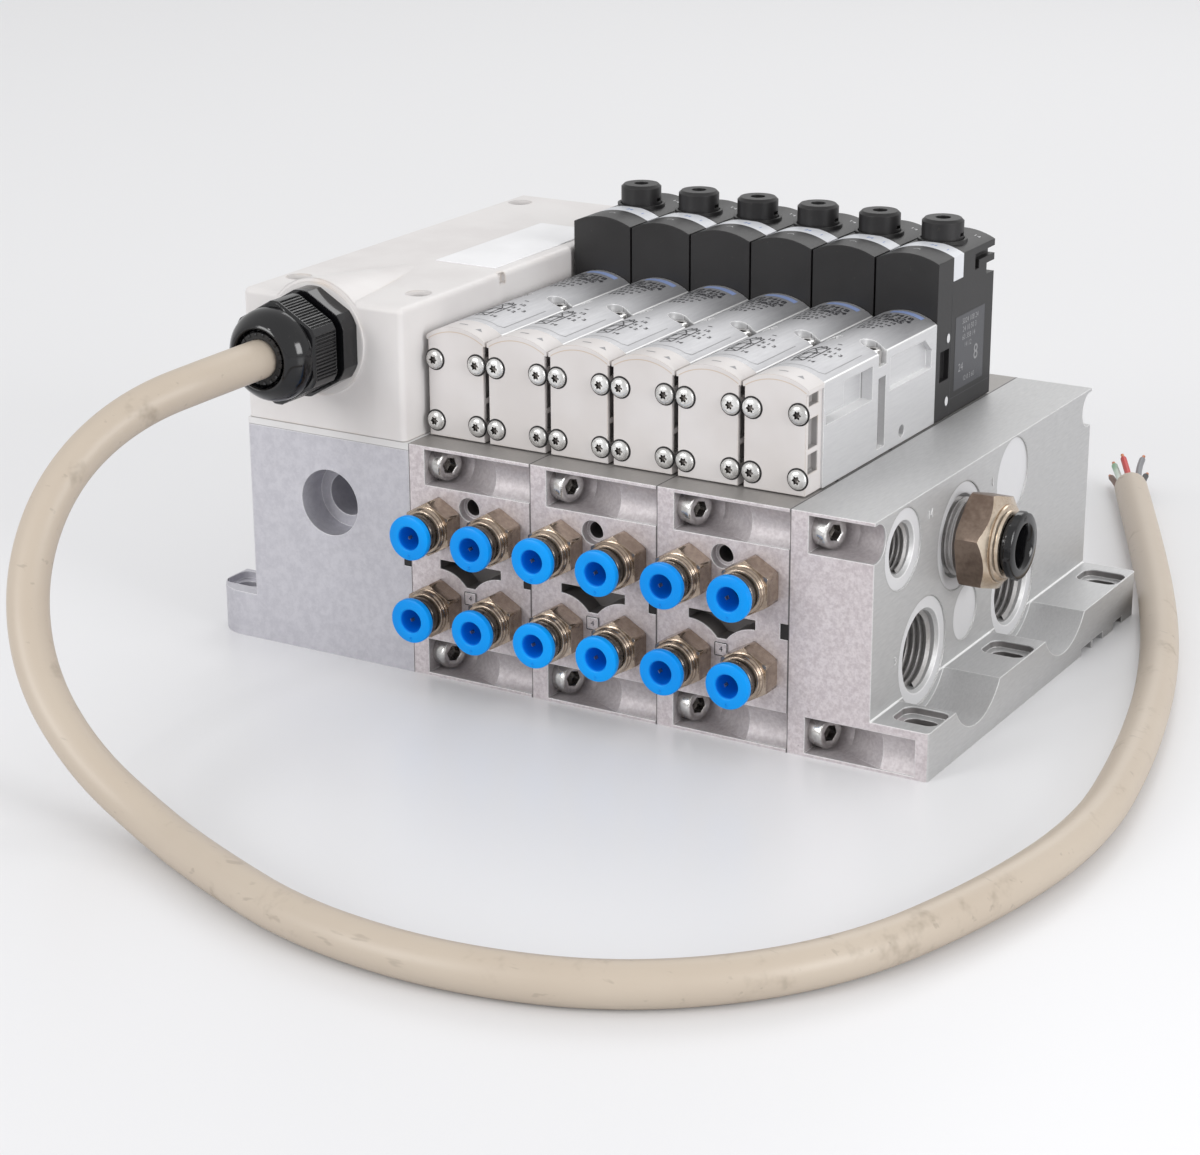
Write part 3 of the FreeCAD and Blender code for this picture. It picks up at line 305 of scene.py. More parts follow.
# %% [markdown]
# ## Bare metals
#
# The end plates are die-cast aluminium. Casting leaves a fine orange-peel skin, and years
# of handling leave cloudy patches. One recipe serves all the bare metals: a colour that
# drifts between two shades, a roughness that drifts with it, and a shallow relief. Their
# edges are lighter, partly from wear and partly as a painted highlight. The blocks are cast
# in front and machined elsewhere, so rules add pits, brushing, the dark seams between the
# blocks and the bright faces that were cut round the ports, and paint shade into their
# recesses, slots, windows and small holes.

# %% Recipe for bare metal
def bare_metal(name, light, dark, rough, skin=0.6, skin_depth=0.02, mottle=22, metallic=0.85,
               rounding=0.35, rim=0.0, extra=None, marks=None):
    """Satin metal with cloudy patches and a fine skin. Two rules may add more to its colour."""
    metal = Finish(name, Metallic=metallic)
    clouds = metal.noise(mottle, detail=5, rough=0.62)
    fine = metal.noise(skin, detail=3)
    patches = (clouds * 0.7 + fine * 0.3).band(0.36, 0.64)
    colour = metal.mix(patches, dark, light)
    roughness = rough + 0.16 * (0.5 - clouds) + 0.10 * (fine - 0.5)
    if extra:
        colour, roughness = extra(metal, colour, roughness)
    # Lighter edges, partly wear and partly a painted highlight.
    if rim:
        colour = metal.mix(metal.rims(0.45) * rim, colour, (250, 250, 250))
    # The second rule may paint shade as well as seams.
    if marks:
        colour = marks(metal, colour)
    metal.feed("Base Color", colour)
    metal.feed("Roughness", roughness)
    metal.relief(fine, skin_depth, rounding)
    return metal


# %% Cast front of the blocks, machined everywhere else
pitch = 19.0
first_valve = -32.5
first_seam = -42.0
slot_ys = (-61.0, -6.0, 61.0)
spot_faces = [(-40.5, 22.0, 14.4), (18.0, 22.0, 14.4), (-18.7, 46.8, 14.4), (-54.3, 53.5, 10.6),
              (15.0, 54.0, 10.6), (-13.8, 24.3, 7.6)]


def block_faces(metal, colour, roughness):
    """Pits in the cast front and brushed tops and sides. Painted shade darkens the recesses, the slots of
    the feet and a ring round each spot face, a painted highlight runs along the top corner of each foot,
    and the ledge on top is darker.
    """
    x, y, z = metal.place()
    up = metal.facing(2)
    cast = (metal.facing(1) ** 2).band(0.4, 0.6) * (y ** 2).band(70.2 ** 2, 70.6 ** 2)
    brushed = metal.noise(0.5, detail=4, stretch=(1, 0.12, 1))
    machined = metal.mix(brushed, (176, 176, 177), (204, 204, 204))
    low = z.inside(-1, 12.7) * x.inside(94.3, 108.8)
    deep = y.inside(-70.9, -59, 0.7) * (z.inside(-1, 64.9) * x.inside(-50, 94.6) + low)
    ledge = up.band(0.7, 0.9) * x.inside(-50, 71.9) * z.band(64, 64.8)
    fleck = metal.cells(1.1, stretch=(1, 1, 0.6)) + metal.noise(5, detail=2) * 0.8
    # Painted shade in the slots of the feet.
    slots = sum(y.inside(middle - 5.6, middle + 5.6) for middle in slot_ys)
    slots = slots * x.inside(98.0, 110.8) * z.inside(0.2, 12.8) * up.band(0.3, 0.6, 1.0, 0.0)
    spot = x.inside(94.4, 94.8, 0.1) * metal.facing(0).band(0.5, 0.7)
    # The recesses take a darker grey as painted shade, and so do the slots.
    layers = [(cast + deep * 0.8, colour), (ledge * 0.6, (140, 133, 127)),
              (fleck.band(0.28, 0.37, 1.0, 0.0) * cast * 0.6, (96, 84, 84)),
              (deep * 0.15, (126, 122, 122)), (slots * 0.75, (92, 86, 84)), (spot, (222, 222, 224))]
    # A dark ring round each spot face is painted shade at its edge.
    for middle_y, middle_z, radius in spot_faces:
        away = ((y - middle_y) ** 2 + (z - middle_z) ** 2) ** 0.5
        line = away.inside(radius - 0.25, radius + 0.3, 0.12) * x.inside(94.4, 96, 0.1)
        layers.append((line * 0.65, (84, 82, 82)))
    # A painted highlight along the top corner of each foot.
    corner = x.inside(94.9, 95.5, 0.1) * z.inside(12.7, 13.4, 0.1)
    layers.append((corner, (248, 248, 248)))
    return metal.layered(machined, *layers), roughness + spot * 0.1 + deep * 0.05


def block_seams_and_shade(metal, colour):
    """Dark seams between the blocks, and painted shade in the windows and the small holes."""
    x, y, z = metal.place()
    from_seam = (x - first_seam).repeated(pitch)
    # The windows and the small holes are painted dark as shade.
    window = y.inside(-70.8, -63) * z.inside(26.6, 34.6) * x.inside(-50, 71.5)
    away = ((pitch - from_seam) ** 2 + (z - 49.5) ** 2) ** 0.5
    hole = away.band(2.2, 2.35, 1.0, 0.0) * y.inside(-70.2, -50)
    seam = from_seam.band(0.12, 0.34, 1.0, 0.0) * x.inside(-50, 80)
    return metal.layered(colour, (window * 0.9, (108, 104, 102)), (hole * 0.85, (52, 48, 46)),
                         (seam * 0.85, (52, 48, 48)))


def valve_faces_painted_light(metal, colour, roughness):
    """Brushed tops and sides with painted light: darker tops that darken further towards the back as a
    painted reflection of the black pilots, brighter sides, painted highlights along each shoulder and on
    the pocket floors, and painted shade in the slots.
    """
    x, y, z = metal.place()
    up = metal.facing(2)
    brushed = metal.noise(0.6, detail=3, stretch=(1, 0.1, 1))
    # Painted light: the sides are brighter than the tops.
    sides = metal.mix(brushed, (206, 206, 208), (222, 222, 223))
    # The top darkens towards the back, a painted reflection of the black pilots behind it.
    crown = metal.mix(y.band(-38, 2), metal.mix(brushed, (186, 186, 189), (208, 208, 210)),
                      metal.mix(brushed, (146, 146, 149), (168, 168, 170)))
    top = up.band(0.5, 0.8)
    away = (x - first_valve).repeated(pitch / 2)
    # Painted highlights along each shoulder and on the pocket floors, and painted shade in the slots.
    shoulder = away.band(8.75, 8.95) * z.inside(92.2, 93.6) * top
    pocket_floor_highlight = top * z.band(91.2, 91.6, 1.0, 0.0)
    slot_shade = away.inside(5.8, 6.2, 0.1) * up.band(0.2, 0.4, 1.0, 0.0)
    return metal.layered(sides, (top, crown), (shoulder + pocket_floor_highlight, (252, 252, 252)),
                         (slot_shade * 0.7, (128, 126, 126))), roughness + top * 0.16


# %% Cast, machined and plated metals
cast_plate = bare_metal("cast_plate", (198, 197, 203), (187, 186, 193), 0.5, mottle=2, metallic=0.5,
                        rim=0.5)
cast_block = bare_metal("cast_block", (216, 209, 211), (194, 185, 188), 0.5, mottle=1.1,
                        metallic=0.5, rim=0.85, extra=block_faces, marks=block_seams_and_shade)
valve_metal = bare_metal("valve_metal", (206, 206, 207), (192, 192, 194), 0.4, skin_depth=0.008,
                         metallic=0.5, rim=0.8, extra=valve_faces_painted_light)
thread_metal = bare_metal("thread_metal", (196, 194, 193), (170, 168, 167), 0.34, skin_depth=0.006,
                          metallic=0.7, rounding=0.1)
nickel_plate = bare_metal("nickel_plate", (184, 169, 153), (150, 134, 119), 0.2, skin=1.2,
                          skin_depth=0.004, rounding=0.12)
bright_steel = bare_metal("bright_steel", (230, 230, 229), (196, 195, 193), 0.26, skin=1.0,
                          skin_depth=0.004, metallic=0.7, rounding=0.08)
socket_steel = bare_metal("socket_steel", (204, 203, 202), (160, 158, 156), 0.24, skin=1.0,
                          skin_depth=0.004, metallic=0.95, rounding=0.12)
# A darker steel that stands for painted shade, in sockets, recesses and the fitting sleeves.
steel_painted_shade = bare_metal("steel_painted_shade", (120, 116, 112), (86, 82, 80), 0.28, skin=1.0,
                        skin_depth=0.004, rounding=0.05)
brown_nickel = bare_metal("brown_nickel", (150, 133, 120), (116, 99, 88), 0.34, skin=1.4,
                          skin_depth=0.004, rounding=0.2)
gold_plate = bare_metal("gold_plate", (220, 206, 188), (196, 178, 158), 0.24, skin=1.4,
                        skin_depth=0.004, rounding=0.1)
copper = bare_metal("copper", (214, 140, 96), (170, 100, 66), 0.3, skin_depth=0.004, rounding=0.05)
print("metals: 11")

# %% [markdown]
# ## Moulded plastics
#
# Moulds for housings are spark-eroded, which gives plastic its fine even grain. The grain
# only bends the light, so it goes into the relief and a little into the roughness. A
# slow cloud in the colour stands for yellowing, and dark flecks for dust that settled.

# %% Recipe for moulded plastic
def moulded(name, light, dark, rough, grain=0.35, grain_depth=0.012, dust=0.0, rounding=0.35,
            gloss=0.5, extra=None):
    """Grained plastic whose colour drifts slowly between two shades."""
    plastic = Finish(name, Specular_IOR_Level=gloss)
    age = plastic.noise(30, detail=3)
    fine = plastic.noise(grain, detail=2, rough=0.7)
    colour = plastic.mix(age.band(0.35, 0.65), dark, light)
    if dust:
        specks = plastic.noise(1.1, detail=2, rough=0.8).band(0.66, 0.74)
        colour = plastic.mix(specks * dust, colour, (150, 140, 124))
    if extra:
        colour = extra(plastic, colour)
    plastic.feed("Base Color", colour)
    plastic.feed("Roughness", rough + 0.12 * (fine - 0.5) + 0.1 * (age - 0.5))
    plastic.relief(fine, grain_depth, rounding)
    return plastic


# %% Yellowed edges, the joints of the hood and painted shade in the caps
def hood_edges(plastic, colour):
    """Yellow on the edges that hands touch and a dark joint under the hood."""
    yellow = plastic.rims(1.2) * plastic.noise(12, detail=2).band(0.4, 0.7)
    joint = plastic.along(2).band(65.1, 65.35, 1.0, 0.0)
    return plastic.layered(colour, (yellow * 0.45, (214, 192, 166)), (joint * 0.6, (112, 108, 106)))


def cap_edges(plastic, colour):
    """A faint yellow on the edges of the end caps, and painted shade in their recesses."""
    yellow = plastic.rims(0.7) * plastic.noise(8, detail=2).band(0.35, 0.65)
    x, y, z = plastic.place()
    # Painted shade in the recesses of the caps.
    hollow = (x - first_valve).repeated(pitch / 2).inside(4.0, 8.45) * y.inside(-60.9, -53.5)
    hollow = hollow * z.inside(66.5, 91.8)
    return plastic.layered(colour, (yellow * 0.35, (218, 202, 180)), (hollow * 0.7, (132, 130, 130)))


def frame_joint(plastic, colour):
    """A dark joint between the light frame and the plate below it."""
    joint = plastic.along(2).band(63.05, 63.25, 1.0, 0.0)
    return plastic.mix(joint * 0.6, colour, (112, 110, 112))


# %% Housings, caps, rings and seals
hood_plastic = moulded("hood_plastic", (223, 220, 219), (215, 211, 210), 0.42, rounding=0.8,
                       extra=hood_edges)
frame_plastic = moulded("frame_plastic", (222, 221, 221), (214, 212, 212), 0.45, extra=frame_joint)
cap_plastic = moulded("cap_plastic", (215, 211, 210), (207, 202, 200), 0.45, extra=cap_edges)
black_plastic = moulded("black_plastic", (38, 37, 38), (28, 27, 28), 0.42, dust=0.05, gloss=0.4)
gland_plastic = moulded("gland_plastic", (22, 22, 24), (15, 15, 17), 0.1, grain_depth=0.002, dust=0.03)
ring_blue = moulded("ring_blue", (0, 152, 240), (0, 140, 230), 0.32, grain_depth=0.004, rounding=0.15,
                    gloss=0.2)
# The bore is a deeper blue as painted shade.
bore_blue_shade_glow = moulded("bore_blue_shade_glow", (0, 110, 215), (0, 92, 190), 0.35, rounding=0.0, gloss=0.2)
strip_white = moulded("strip_white", (216, 218, 223), (206, 208, 213), 0.4, rounding=0.1)
label_white = moulded("label_white", (238, 238, 240), (230, 230, 232), 0.4, rounding=0.1)
seal_rubber = moulded("seal_rubber", (34, 33, 33), (25, 24, 24), 0.6, rounding=0.1)
board_laminate = moulded("board_laminate", (32, 96, 60), (24, 80, 48), 0.35)
# The bore glows faintly blue: painted light, so that its walls show.
bore_blue_shade_glow.shader.inputs["Emission Color"].default_value = paint(0, 96, 180)
bore_blue_shade_glow.shader.inputs["Emission Strength"].default_value = 0.18
print("plastics: 11")

# %% [markdown]
# ## Cable sheath and wires
#
# The sheath is cream plastic that was dragged over floors. Dark smudges sit in soft
# patches, and thin scuffs run along it. The scuffs come from noise that is stretched far
# along one axis, which reads as a scratch however the cable turns.

# %% Sheath
cable_sheath = Finish("cable_sheath")
smudge = cable_sheath.noise(16, detail=4, rough=0.7).band(0.58, 0.78)
scuff = cable_sheath.noise(2.2, detail=2, stretch=(0.2, 1, 1)).band(0.66, 0.74)
cream = cable_sheath.mix(cable_sheath.noise(40), (195, 183, 168), (185, 171, 155))
soiled = cable_sheath.mix(smudge * 0.5, cream, (128, 116, 100))
cable_sheath.feed("Base Color", cable_sheath.mix(scuff * 0.25, soiled, (110, 100, 88)))
cable_sheath.feed("Roughness", 0.42 + smudge * 0.2)
cable_sheath.relief(cable_sheath.noise(1.4), 0.02)
cable.data.materials.append(cable_sheath.material)

# %% Wires
for wire, (colour, reach, lean, light, dark) in zip(wires, wire_plan):
    sleeve = moulded("sleeve_" + colour, light, dark, 0.38, grain_depth=0.004, rounding=0.0)
    wire.data.materials.append(sleeve.material)
for tip in tips:
    tip.data.materials.append(copper.material)
print("wire finishes:", len(wires))

# %% [markdown]
# ## Dressing the solids
#
# Each part of the frame names a material slot in its record. Most slots are called as
# their finish is. A dictionary from slot to finish dresses all sixty parts in one loop.

# %% Finishes by slot
finish_of_slot = {finish.name: finish for finish in (
    valve_metal, hood_plastic, frame_plastic, cap_plastic, black_plastic, gland_plastic, nickel_plate,
    ring_blue, strip_white, seal_rubber, cable_sheath, board_laminate)}
finish_of_slot.update(plate_cast=cast_plate, block_cast=cast_block, screw_steel=bright_steel,
                      core_sleeve=cable_sheath)
for part in frame["record"]["subparts"]:
    for slot in frame["nodes"][part["node"]].material_slots:
        slot.material = finish_of_slot[part["material_slot"]].material

# %% [markdown]
# ## Turned and six-sided forms
#
# Fittings, screws and rings are turned parts: one outline swept round an axis, with a
# hexagon or a star where a tool grips. A stack of rings makes them all. Each level has a
# radius and a height, either of which may be a rule that depends on the angle, and each
# ring is drawn out of the last one. That gives clean loops, and the 30 degree chamfer of
# a real hexagon falls out of one rule for the height.

# %% Stacked rings
def shaped(verts, level):
    """Moves a ring of points to a level. Its radius and height are numbers or rules on the angle."""
    radius, height = level
    for vert in verts:
        angle = atan2(vert.co.y, vert.co.x)
        reach = radius(angle) if callable(radius) else radius
        rise = height(angle) if callable(height) else height
        vert.co = Vector((reach * cos(angle), reach * sin(angle), rise))


def stacked(levels, sides=48, closed=False):
    """A wall drawn out from level to level. It meets its start again or ends in flat caps."""
    shape = bmesh.new()
    shaped(bmesh.ops.create_circle(shape, segments=sides, radius=1.0)["verts"], levels[0])
    edges = list(shape.edges)
    for level in levels[1:] + (levels[:1] if closed else []):
        grown = bmesh.ops.extrude_edge_only(shape, edges=edges)["geom"]
        shaped([part for part in grown if isinstance(part, bmesh.types.BMVert)], level)
        edges = [part for part in grown if isinstance(part, bmesh.types.BMEdge)]
    if closed:
        bmesh.ops.remove_doubles(shape, verts=shape.verts, dist=1e-5)
    else:
        bmesh.ops.holes_fill(shape, edges=shape.edges, sides=sides)
    bmesh.ops.recalc_face_normals(shape, faces=shape.faces)
    return shape


def six_sided(across, turn=0.0):
    """The radius of a hexagon, as a rule on the angle."""
    def radius(angle):
        part = (angle - turn) % (pi / 3) - pi / 6
        return across / 2 / cos(part)
    return radius


def chamfer_at(height, radius, inner, down):
    """The height of a turned 30 degree chamfer on a hexagon, as a rule on the angle."""
    return lambda angle: height + down * 0.577 * max(0.0, radius(angle) - inner)


def eased(shape, width):
    """Rounds every clear corner of a shape with one small flat."""
    sharp = [edge for edge in shape.edges
             if len(edge.link_faces) == 2 and edge.calc_face_angle() > radians(28)]
    bmesh.ops.bevel(shape, geom=sharp, offset=width, segments=1, profile=0.5, affect="EDGES",
                    clamp_overlap=True, material=-1)


def parted(shape, chosen):
    """Takes the faces that a rule picks out of a shape. They become a shape of their own."""
    shape.normal_update()
    other = shape.copy()
    for part, wanted in ((other, False), (shape, True)):
        gone = [face for face in part.faces if bool(chosen(face.calc_center_median())) == wanted]
        bmesh.ops.delete(part, geom=gone, context="FACES")
    return other


# %% Placing shapes and keeping them as pieces
to_front = (0, -1, 0)
to_right = (1, 0, 0)
crease = radians(35)


def placed(shape, place=(0, 0, 0), facing=(0, 0, 1), turn=0.0):
    """Turns a shape about its own axis, points that axis, and moves it, in millimetres."""
    aim = Vector((0, 0, 1)).rotation_difference(Vector(facing)).to_matrix().to_4x4()
    spin = Matrix.Rotation(turn, 4, "Z")
    bmesh.ops.transform(shape, matrix=Matrix.Translation(place) @ aim @ spin, verts=shape.verts)
    return shape


def box(size, middle):
    """A box of the given size round its middle."""
    shape = bmesh.new()
    bmesh.ops.create_cube(shape, size=1.0)
    bmesh.ops.scale(shape, vec=size, verts=shape.verts)
    bmesh.ops.translate(shape, vec=middle, verts=shape.verts)
    return shape


def poured(shape, whole):
    """Adds a shape to another and does away with it."""
    part = bpy.data.meshes.new("part")
    shape.to_mesh(part)
    shape.free()
    whole.from_mesh(part)
    bpy.data.meshes.remove(part)


def joined(shapes):
    """Several shapes as one."""
    whole = bmesh.new()
    for shape in shapes:
        poured(shape, whole)
    return whole


def copies(shape, moves):
    """The same shape once for each place or for each turn."""
    shapes = []
    for move in moves:
        matrix = move if isinstance(move, Matrix) else Matrix.Translation(move)
        shapes.append(shape.copy())
        bmesh.ops.transform(shapes[-1], matrix=matrix, verts=shapes[-1].verts)
    shape.free()
    return joined(shapes)


def turns_round(count, start=0.0):
    """The turns that spread copies evenly round the Z axis."""
    return [Matrix.Rotation(tau * step / count + start, 4, "Z") for step in range(count)]


def piece(name, parts, body, instead_of=()):
    """One object from (shape, finish) pairs, which rides on a body of the frame."""
    mesh = bpy.data.meshes.new(name)
    whole = bmesh.new()
    for index, (shape, finish) in enumerate(parts):
        for face in shape.faces:
            face.material_index = index
            face.smooth = True
        poured(shape, whole)
        mesh.materials.append(finish.material)
    for edge in whole.edges:
        edge.smooth = len(edge.link_faces) == 2 and edge.calc_face_angle() < crease
    bmesh.ops.scale(whole, vec=(0.001, 0.001, 0.001), verts=whole.verts)
    whole.to_mesh(mesh)
    whole.free()
    made = shown(name, mesh)
    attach(made, body)
    if instead_of:
        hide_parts(*instead_of)


# %% [markdown]
# ## Push-in fittings
#
# A push-in fitting is a nickel-plated hexagon screwed into the block, a round collar
# pressed on it and a thin steel sleeve that holds the grab claws. The tube goes through a
# blue ring, and a push on the ring frees it. The collar's beads catch the light, so they
# are levels of the same stack and not a texture. All twelve are copies of one shape.

# %% Twelve fitting bodies
front = -71.0
valve_xs = [first_valve + pitch * step for step in range(6)]
port_zs = (44.2, 21.1)
port_places = [(x, front, z) for x in valve_xs for z in port_zs]
hexagon = six_sided(13.0, pi / 6)
fitting = stacked([
    (2.2, -5.6), (4.8, -5.6), (4.8, 0.0), (6.5, 0.0),
    (hexagon, chamfer_at(0.0, hexagon, 7.0, 1)), (hexagon, chamfer_at(6.2, hexagon, 7.0, -1)),
    (6.45, 6.2), (6.0, 6.3), (5.85, 6.5), (5.95, 6.75), (6.25, 7.0), (6.32, 7.35), (6.2, 7.7),
    (5.9, 7.95), (5.9, 8.15), (6.05, 8.35), (6.05, 8.8), (5.85, 9.0), (5.2, 9.05),
    (5.2, 4.6), (3.08, 4.6), (3.08, 0.6), (2.2, 0.6),
], closed=True)
sleeve = stacked([(4.5, 5.0), (5.15, 5.0), (5.15, 10.1), (5.45, 10.3), (5.5, 11.4), (5.3, 11.9),
                  (4.6, 11.9), (4.5, 11.6)], closed=True)
turned = []
# The sleeve takes the darker steel as painted shade in the gap behind the ring.
for shape, metal in ((fitting, nickel_plate), (sleeve, steel_painted_shade)):
    eased(shape, 0.06)
    turned.append((copies(placed(shape, facing=to_front), port_places), metal))
piece("fittings", turned, "base", ("push_in_bodies",))
print("fittings:", len(port_places))

# %% [markdown]
# ## Blue release rings
#
# Each ring is a soft-edged disc on a neck, with a wide cone that leads the tube in. The
# bore is painted a deeper blue as shade, because little light falls in, and it glows faintly
# as painted light so that its walls show. Four thin spring claws glint inside,
# and the tube size, a plain 6, stands 0.1 mm proud of the face.

# %% Plain numbers as thin solids
def plain_number(text, height, thickness, bold=0.0):
    """A number as a thin solid in the XY plane, centred, with its face towards +Z."""
    font = bpy.data.curves.new("number", "FONT")
    font.body = text
    font.size = height * 1.35
    font.align_x = "CENTER"
    font.align_y = "CENTER"
    font.extrude = thickness / 2
    font.offset = bold
    font.resolution_u = 3
    holder = shown("number", font)
    flat = bpy.data.meshes.new_from_object(holder.evaluated_get(bpy.context.evaluated_depsgraph_get()))
    shape = bmesh.new()
    shape.from_mesh(flat)
    bmesh.ops.remove_doubles(shape, verts=shape.verts, dist=0.0005)
    bpy.data.objects.remove(holder)
    bpy.data.meshes.remove(flat)
    return shape


# %% Twelve rings, each on its own body
ring_levels = [
    (3.2, 7.2), (4.4, 7.2), (4.4, 13.1), (5.75, 13.1), (6.02, 13.25), (6.1, 13.55), (6.1, 14.45),
    (6.0, 14.8), (5.7, 14.97), (3.6, 15.0), (3.4, 14.95), (3.25, 14.8), (3.2, 14.5),
]
bore_levels = [(3.19, 14.6), (3.19, 5.7), (3.08, 5.7), (3.08, 14.5)]
for number, place in enumerate(port_places, 1):
    ring = placed(stacked(ring_levels, closed=True), place, to_front)
    six = placed(placed(plain_number("6", 1.15, 0.24), (0, 4.85, 15.0)), place, to_front, turn=pi)
    bore = placed(stacked(bore_levels, sides=32, closed=True), place, to_front)
    claws = copies(box((0.9, 0.16, 1.6), (0, 2.9, 10.2)), turns_round(4, 0.5))
    piece("ring_%02d_blue" % number,
          [(ring, ring_blue), (six, ring_blue), (bore, bore_blue_shade_glow),
           (placed(claws, place, to_front), bright_steel)],
          "ring_%02d" % number, ("release_ring_%02d" % number,))
print("rings:", len(port_places))

# %% [markdown]
# ## Supply fitting
#
# The supply line needs a thicker tube, so its fitting is larger: a hexagon 24 mm across
# with a lathe-cut thread that shows for 4 mm in front of the port, a gold-coloured collar
# and a black ring. The thread is a stack of crests and roots, which looks the same as a
# true helix on so short a length.

# %% Large fitting and its ring
def notched(radius, depth, count, share):
    """The radius of a rim with notches, as a rule on the angle."""
    def rule(angle):
        swing = cos(count * angle)
        return radius if swing > -share else radius - depth
    return rule


right_face = 95.0
ring_face = 17.8
supply_place = (right_face, -18.7, 46.8)
large_hexagon = six_sided(24.0, 0.24)
thread = []
for turn in range(7):
    start = -9.0 + turn * 1.8
    thread += [(10.35, start), (10.35, start + 0.35), (9.55, start + 0.85), (9.55, start + 1.3)]
large = stacked([
    (4.0, 2.0), (9.5, 2.0), (9.5, 3.8), (11.9, 3.8),
    (large_hexagon, chamfer_at(3.8, large_hexagon, 13.0, 1)),
    (large_hexagon, chamfer_at(11.5, large_hexagon, 12.0, -1.3)), (10.6, 12.1), (10.3, 12.15),
    (4.6, 12.15), (4.6, 4.0), (4.0, 4.0),
], sides=72, closed=True)
turned_end = parted(large, lambda middle: middle.z > 10.9)
spigot = stacked([(4.0, -9.0)] + thread + [(9.6, 3.9), (4.6, 3.9), (4.6, 0.6), (4.0, 0.6)],
                 sides=72, closed=True)
collar = stacked([
    (7.6, 12.1), (9.9, 12.1), (10.25, 12.5), (10.1, 13.0), (9.5, 13.25), (9.0, 13.35), (8.9, 13.7),
    (8.7, 14.0), (7.8, 14.05), (7.6, 13.9),
], sides=72, closed=True)
lugs = notched(9.05, 0.45, 6, 0.5)
black_ring = stacked([
    (5.15, 8.4), (7.0, 8.4), (7.0, 14.0), (7.4, 14.1), (7.4, 15.0), (8.4, 15.4),
    (lugs, 15.6), (lugs, 17.1), (8.75, 17.55), (8.3, ring_face), (6.2, ring_face), (5.8, 17.5),
    (5.3, 16.6),
], sides=72, closed=True)
ten = placed(plain_number("10", 1.3, 0.24), (0, 7.4, ring_face))
fixed = ((large, brown_nickel), (turned_end, gold_plate), (spigot, thread_metal), (collar, gold_plate))
piece("supply_body", [(placed(shape, supply_place, to_right), metal) for shape, metal in fixed],
      "base", ("supply_fitting",))
piece("supply_ring_black", [(placed(black_ring, supply_place, to_right), gland_plastic),
                            (placed(ten, supply_place, to_right, turn=pi / 2), gland_plastic)],
      "supply_ring", ("supply_release_ring",))
print("supply fitting stands", ring_face, "mm out")

# %% [markdown]
# ## Threads in the open ports
#
# Three ports are open, so their threads show. A thread is one V-shaped ridge that winds
# round the wall, and spin makes exactly that when each step also moves along the axis.
# The ridge points inwards from the plain bore of the solid.

# %% Internal threads
def wound_thread(radius, depth, pitch, length):
    """A V ridge that winds down a bore from z 0 to minus the length."""
    shape = bmesh.new()
    steps = 36
    turns = round(length / pitch)
    corners = [(radius + 0.1, -0.47), (radius - depth, -0.08), (radius - depth, 0.08), (radius + 0.1, 0.47)]
    points = [shape.verts.new((reach, 0, along * pitch - pitch)) for reach, along in corners]
    edges = [shape.edges.new(pair) for pair in zip(points, points[1:])]
    bmesh.ops.spin(shape, geom=points + edges, cent=(0, 0, 0), axis=(0, 0, 1),
                   dvec=(0, 0, -pitch / steps), angle=tau * turns, steps=steps * turns,
                   use_merge=False)
    bmesh.ops.recalc_face_normals(shape, faces=shape.faces)
    return shape


large_thread = (10.45, 1.1, 1.814, 12.7)
small_thread = (6.6, 0.82, 1.337, 9.6)
thread_x = 94.0
open_ports = ((large_thread, -40.5, 22.0), (large_thread, 18.0, 22.0), (small_thread, -54.3, 53.5))
threads = [(placed(wound_thread(*size), (thread_x, y, z), to_right), thread_metal)
           for size, y, z in open_ports]
piece("port_threads", threads, "base")
print("threaded ports:", len(threads))

# %% [markdown]
# ## Screws of the end caps
#
# Four low round-headed screws hold each end cap. Each head has a six-lobed recess and
# sits in a shallow seat. A thin dark ring round it is painted shadow, and the recess takes
# a darker steel as painted shade. The recess is the inner end of the same stack of rings:
# its radius rises and falls six times round.

# %% Round-headed screws with six-lobed recess
def lobed(mean, swing):
    """The radius of a six-lobed recess, as a rule on the angle."""
    return lambda angle: mean + swing * cos(6 * angle)


cap_front = -61.6
cap_screw_x, cap_screw_zs = 6.55, (69.6, 86.4)
cap_places = [(x + side * cap_screw_x, cap_front, z) for x in valve_xs for side in (-1, 1)
              for z in cap_screw_zs]
head = stacked([
    (1.45, -15.0), (1.45, 0.0), (2.5, 0.0), (2.6, 0.2), (2.58, 0.45), (2.4, 0.75), (2.0, 1.0),
    (1.5, 1.12), (lobed(0.98, 0.2), 1.16), (lobed(0.92, 0.2), 1.04), (lobed(0.88, 0.18), 0.25),
    (0.4, 0.1),
], sides=36)
# The faces of the recess take the darker steel as painted shade.
lobes = parted(head, lambda middle: 0 < middle.z < 1.12 and middle.xy.length < 1.1)
# A thin dark ring just in front of the cap, painted shadow round each head.
shadow_ring = stacked([(2.5, 0.02), (3.0, 0.02), (3.0, 0.05), (2.5, 0.05)], sides=36, closed=True)
screw_parts = ((head, bright_steel), (lobes, steel_painted_shade), (shadow_ring, seal_rubber))
piece("cap_screws_round",
      [(copies(placed(shape, facing=to_front), cap_places), finish) for shape, finish in screw_parts],
      "base", ("cap_screws",))
print("cap screws:", len(cap_places))

# %% [markdown]
# ## Socket screws
#
# The tie screws and the valve screws are socket cap screws: a plain cylinder with a
# rounded rim and a hexagonal socket. One recipe makes both. The tie screws are turned a
# little outwards, so that a key reaches them from in front of their pocket.

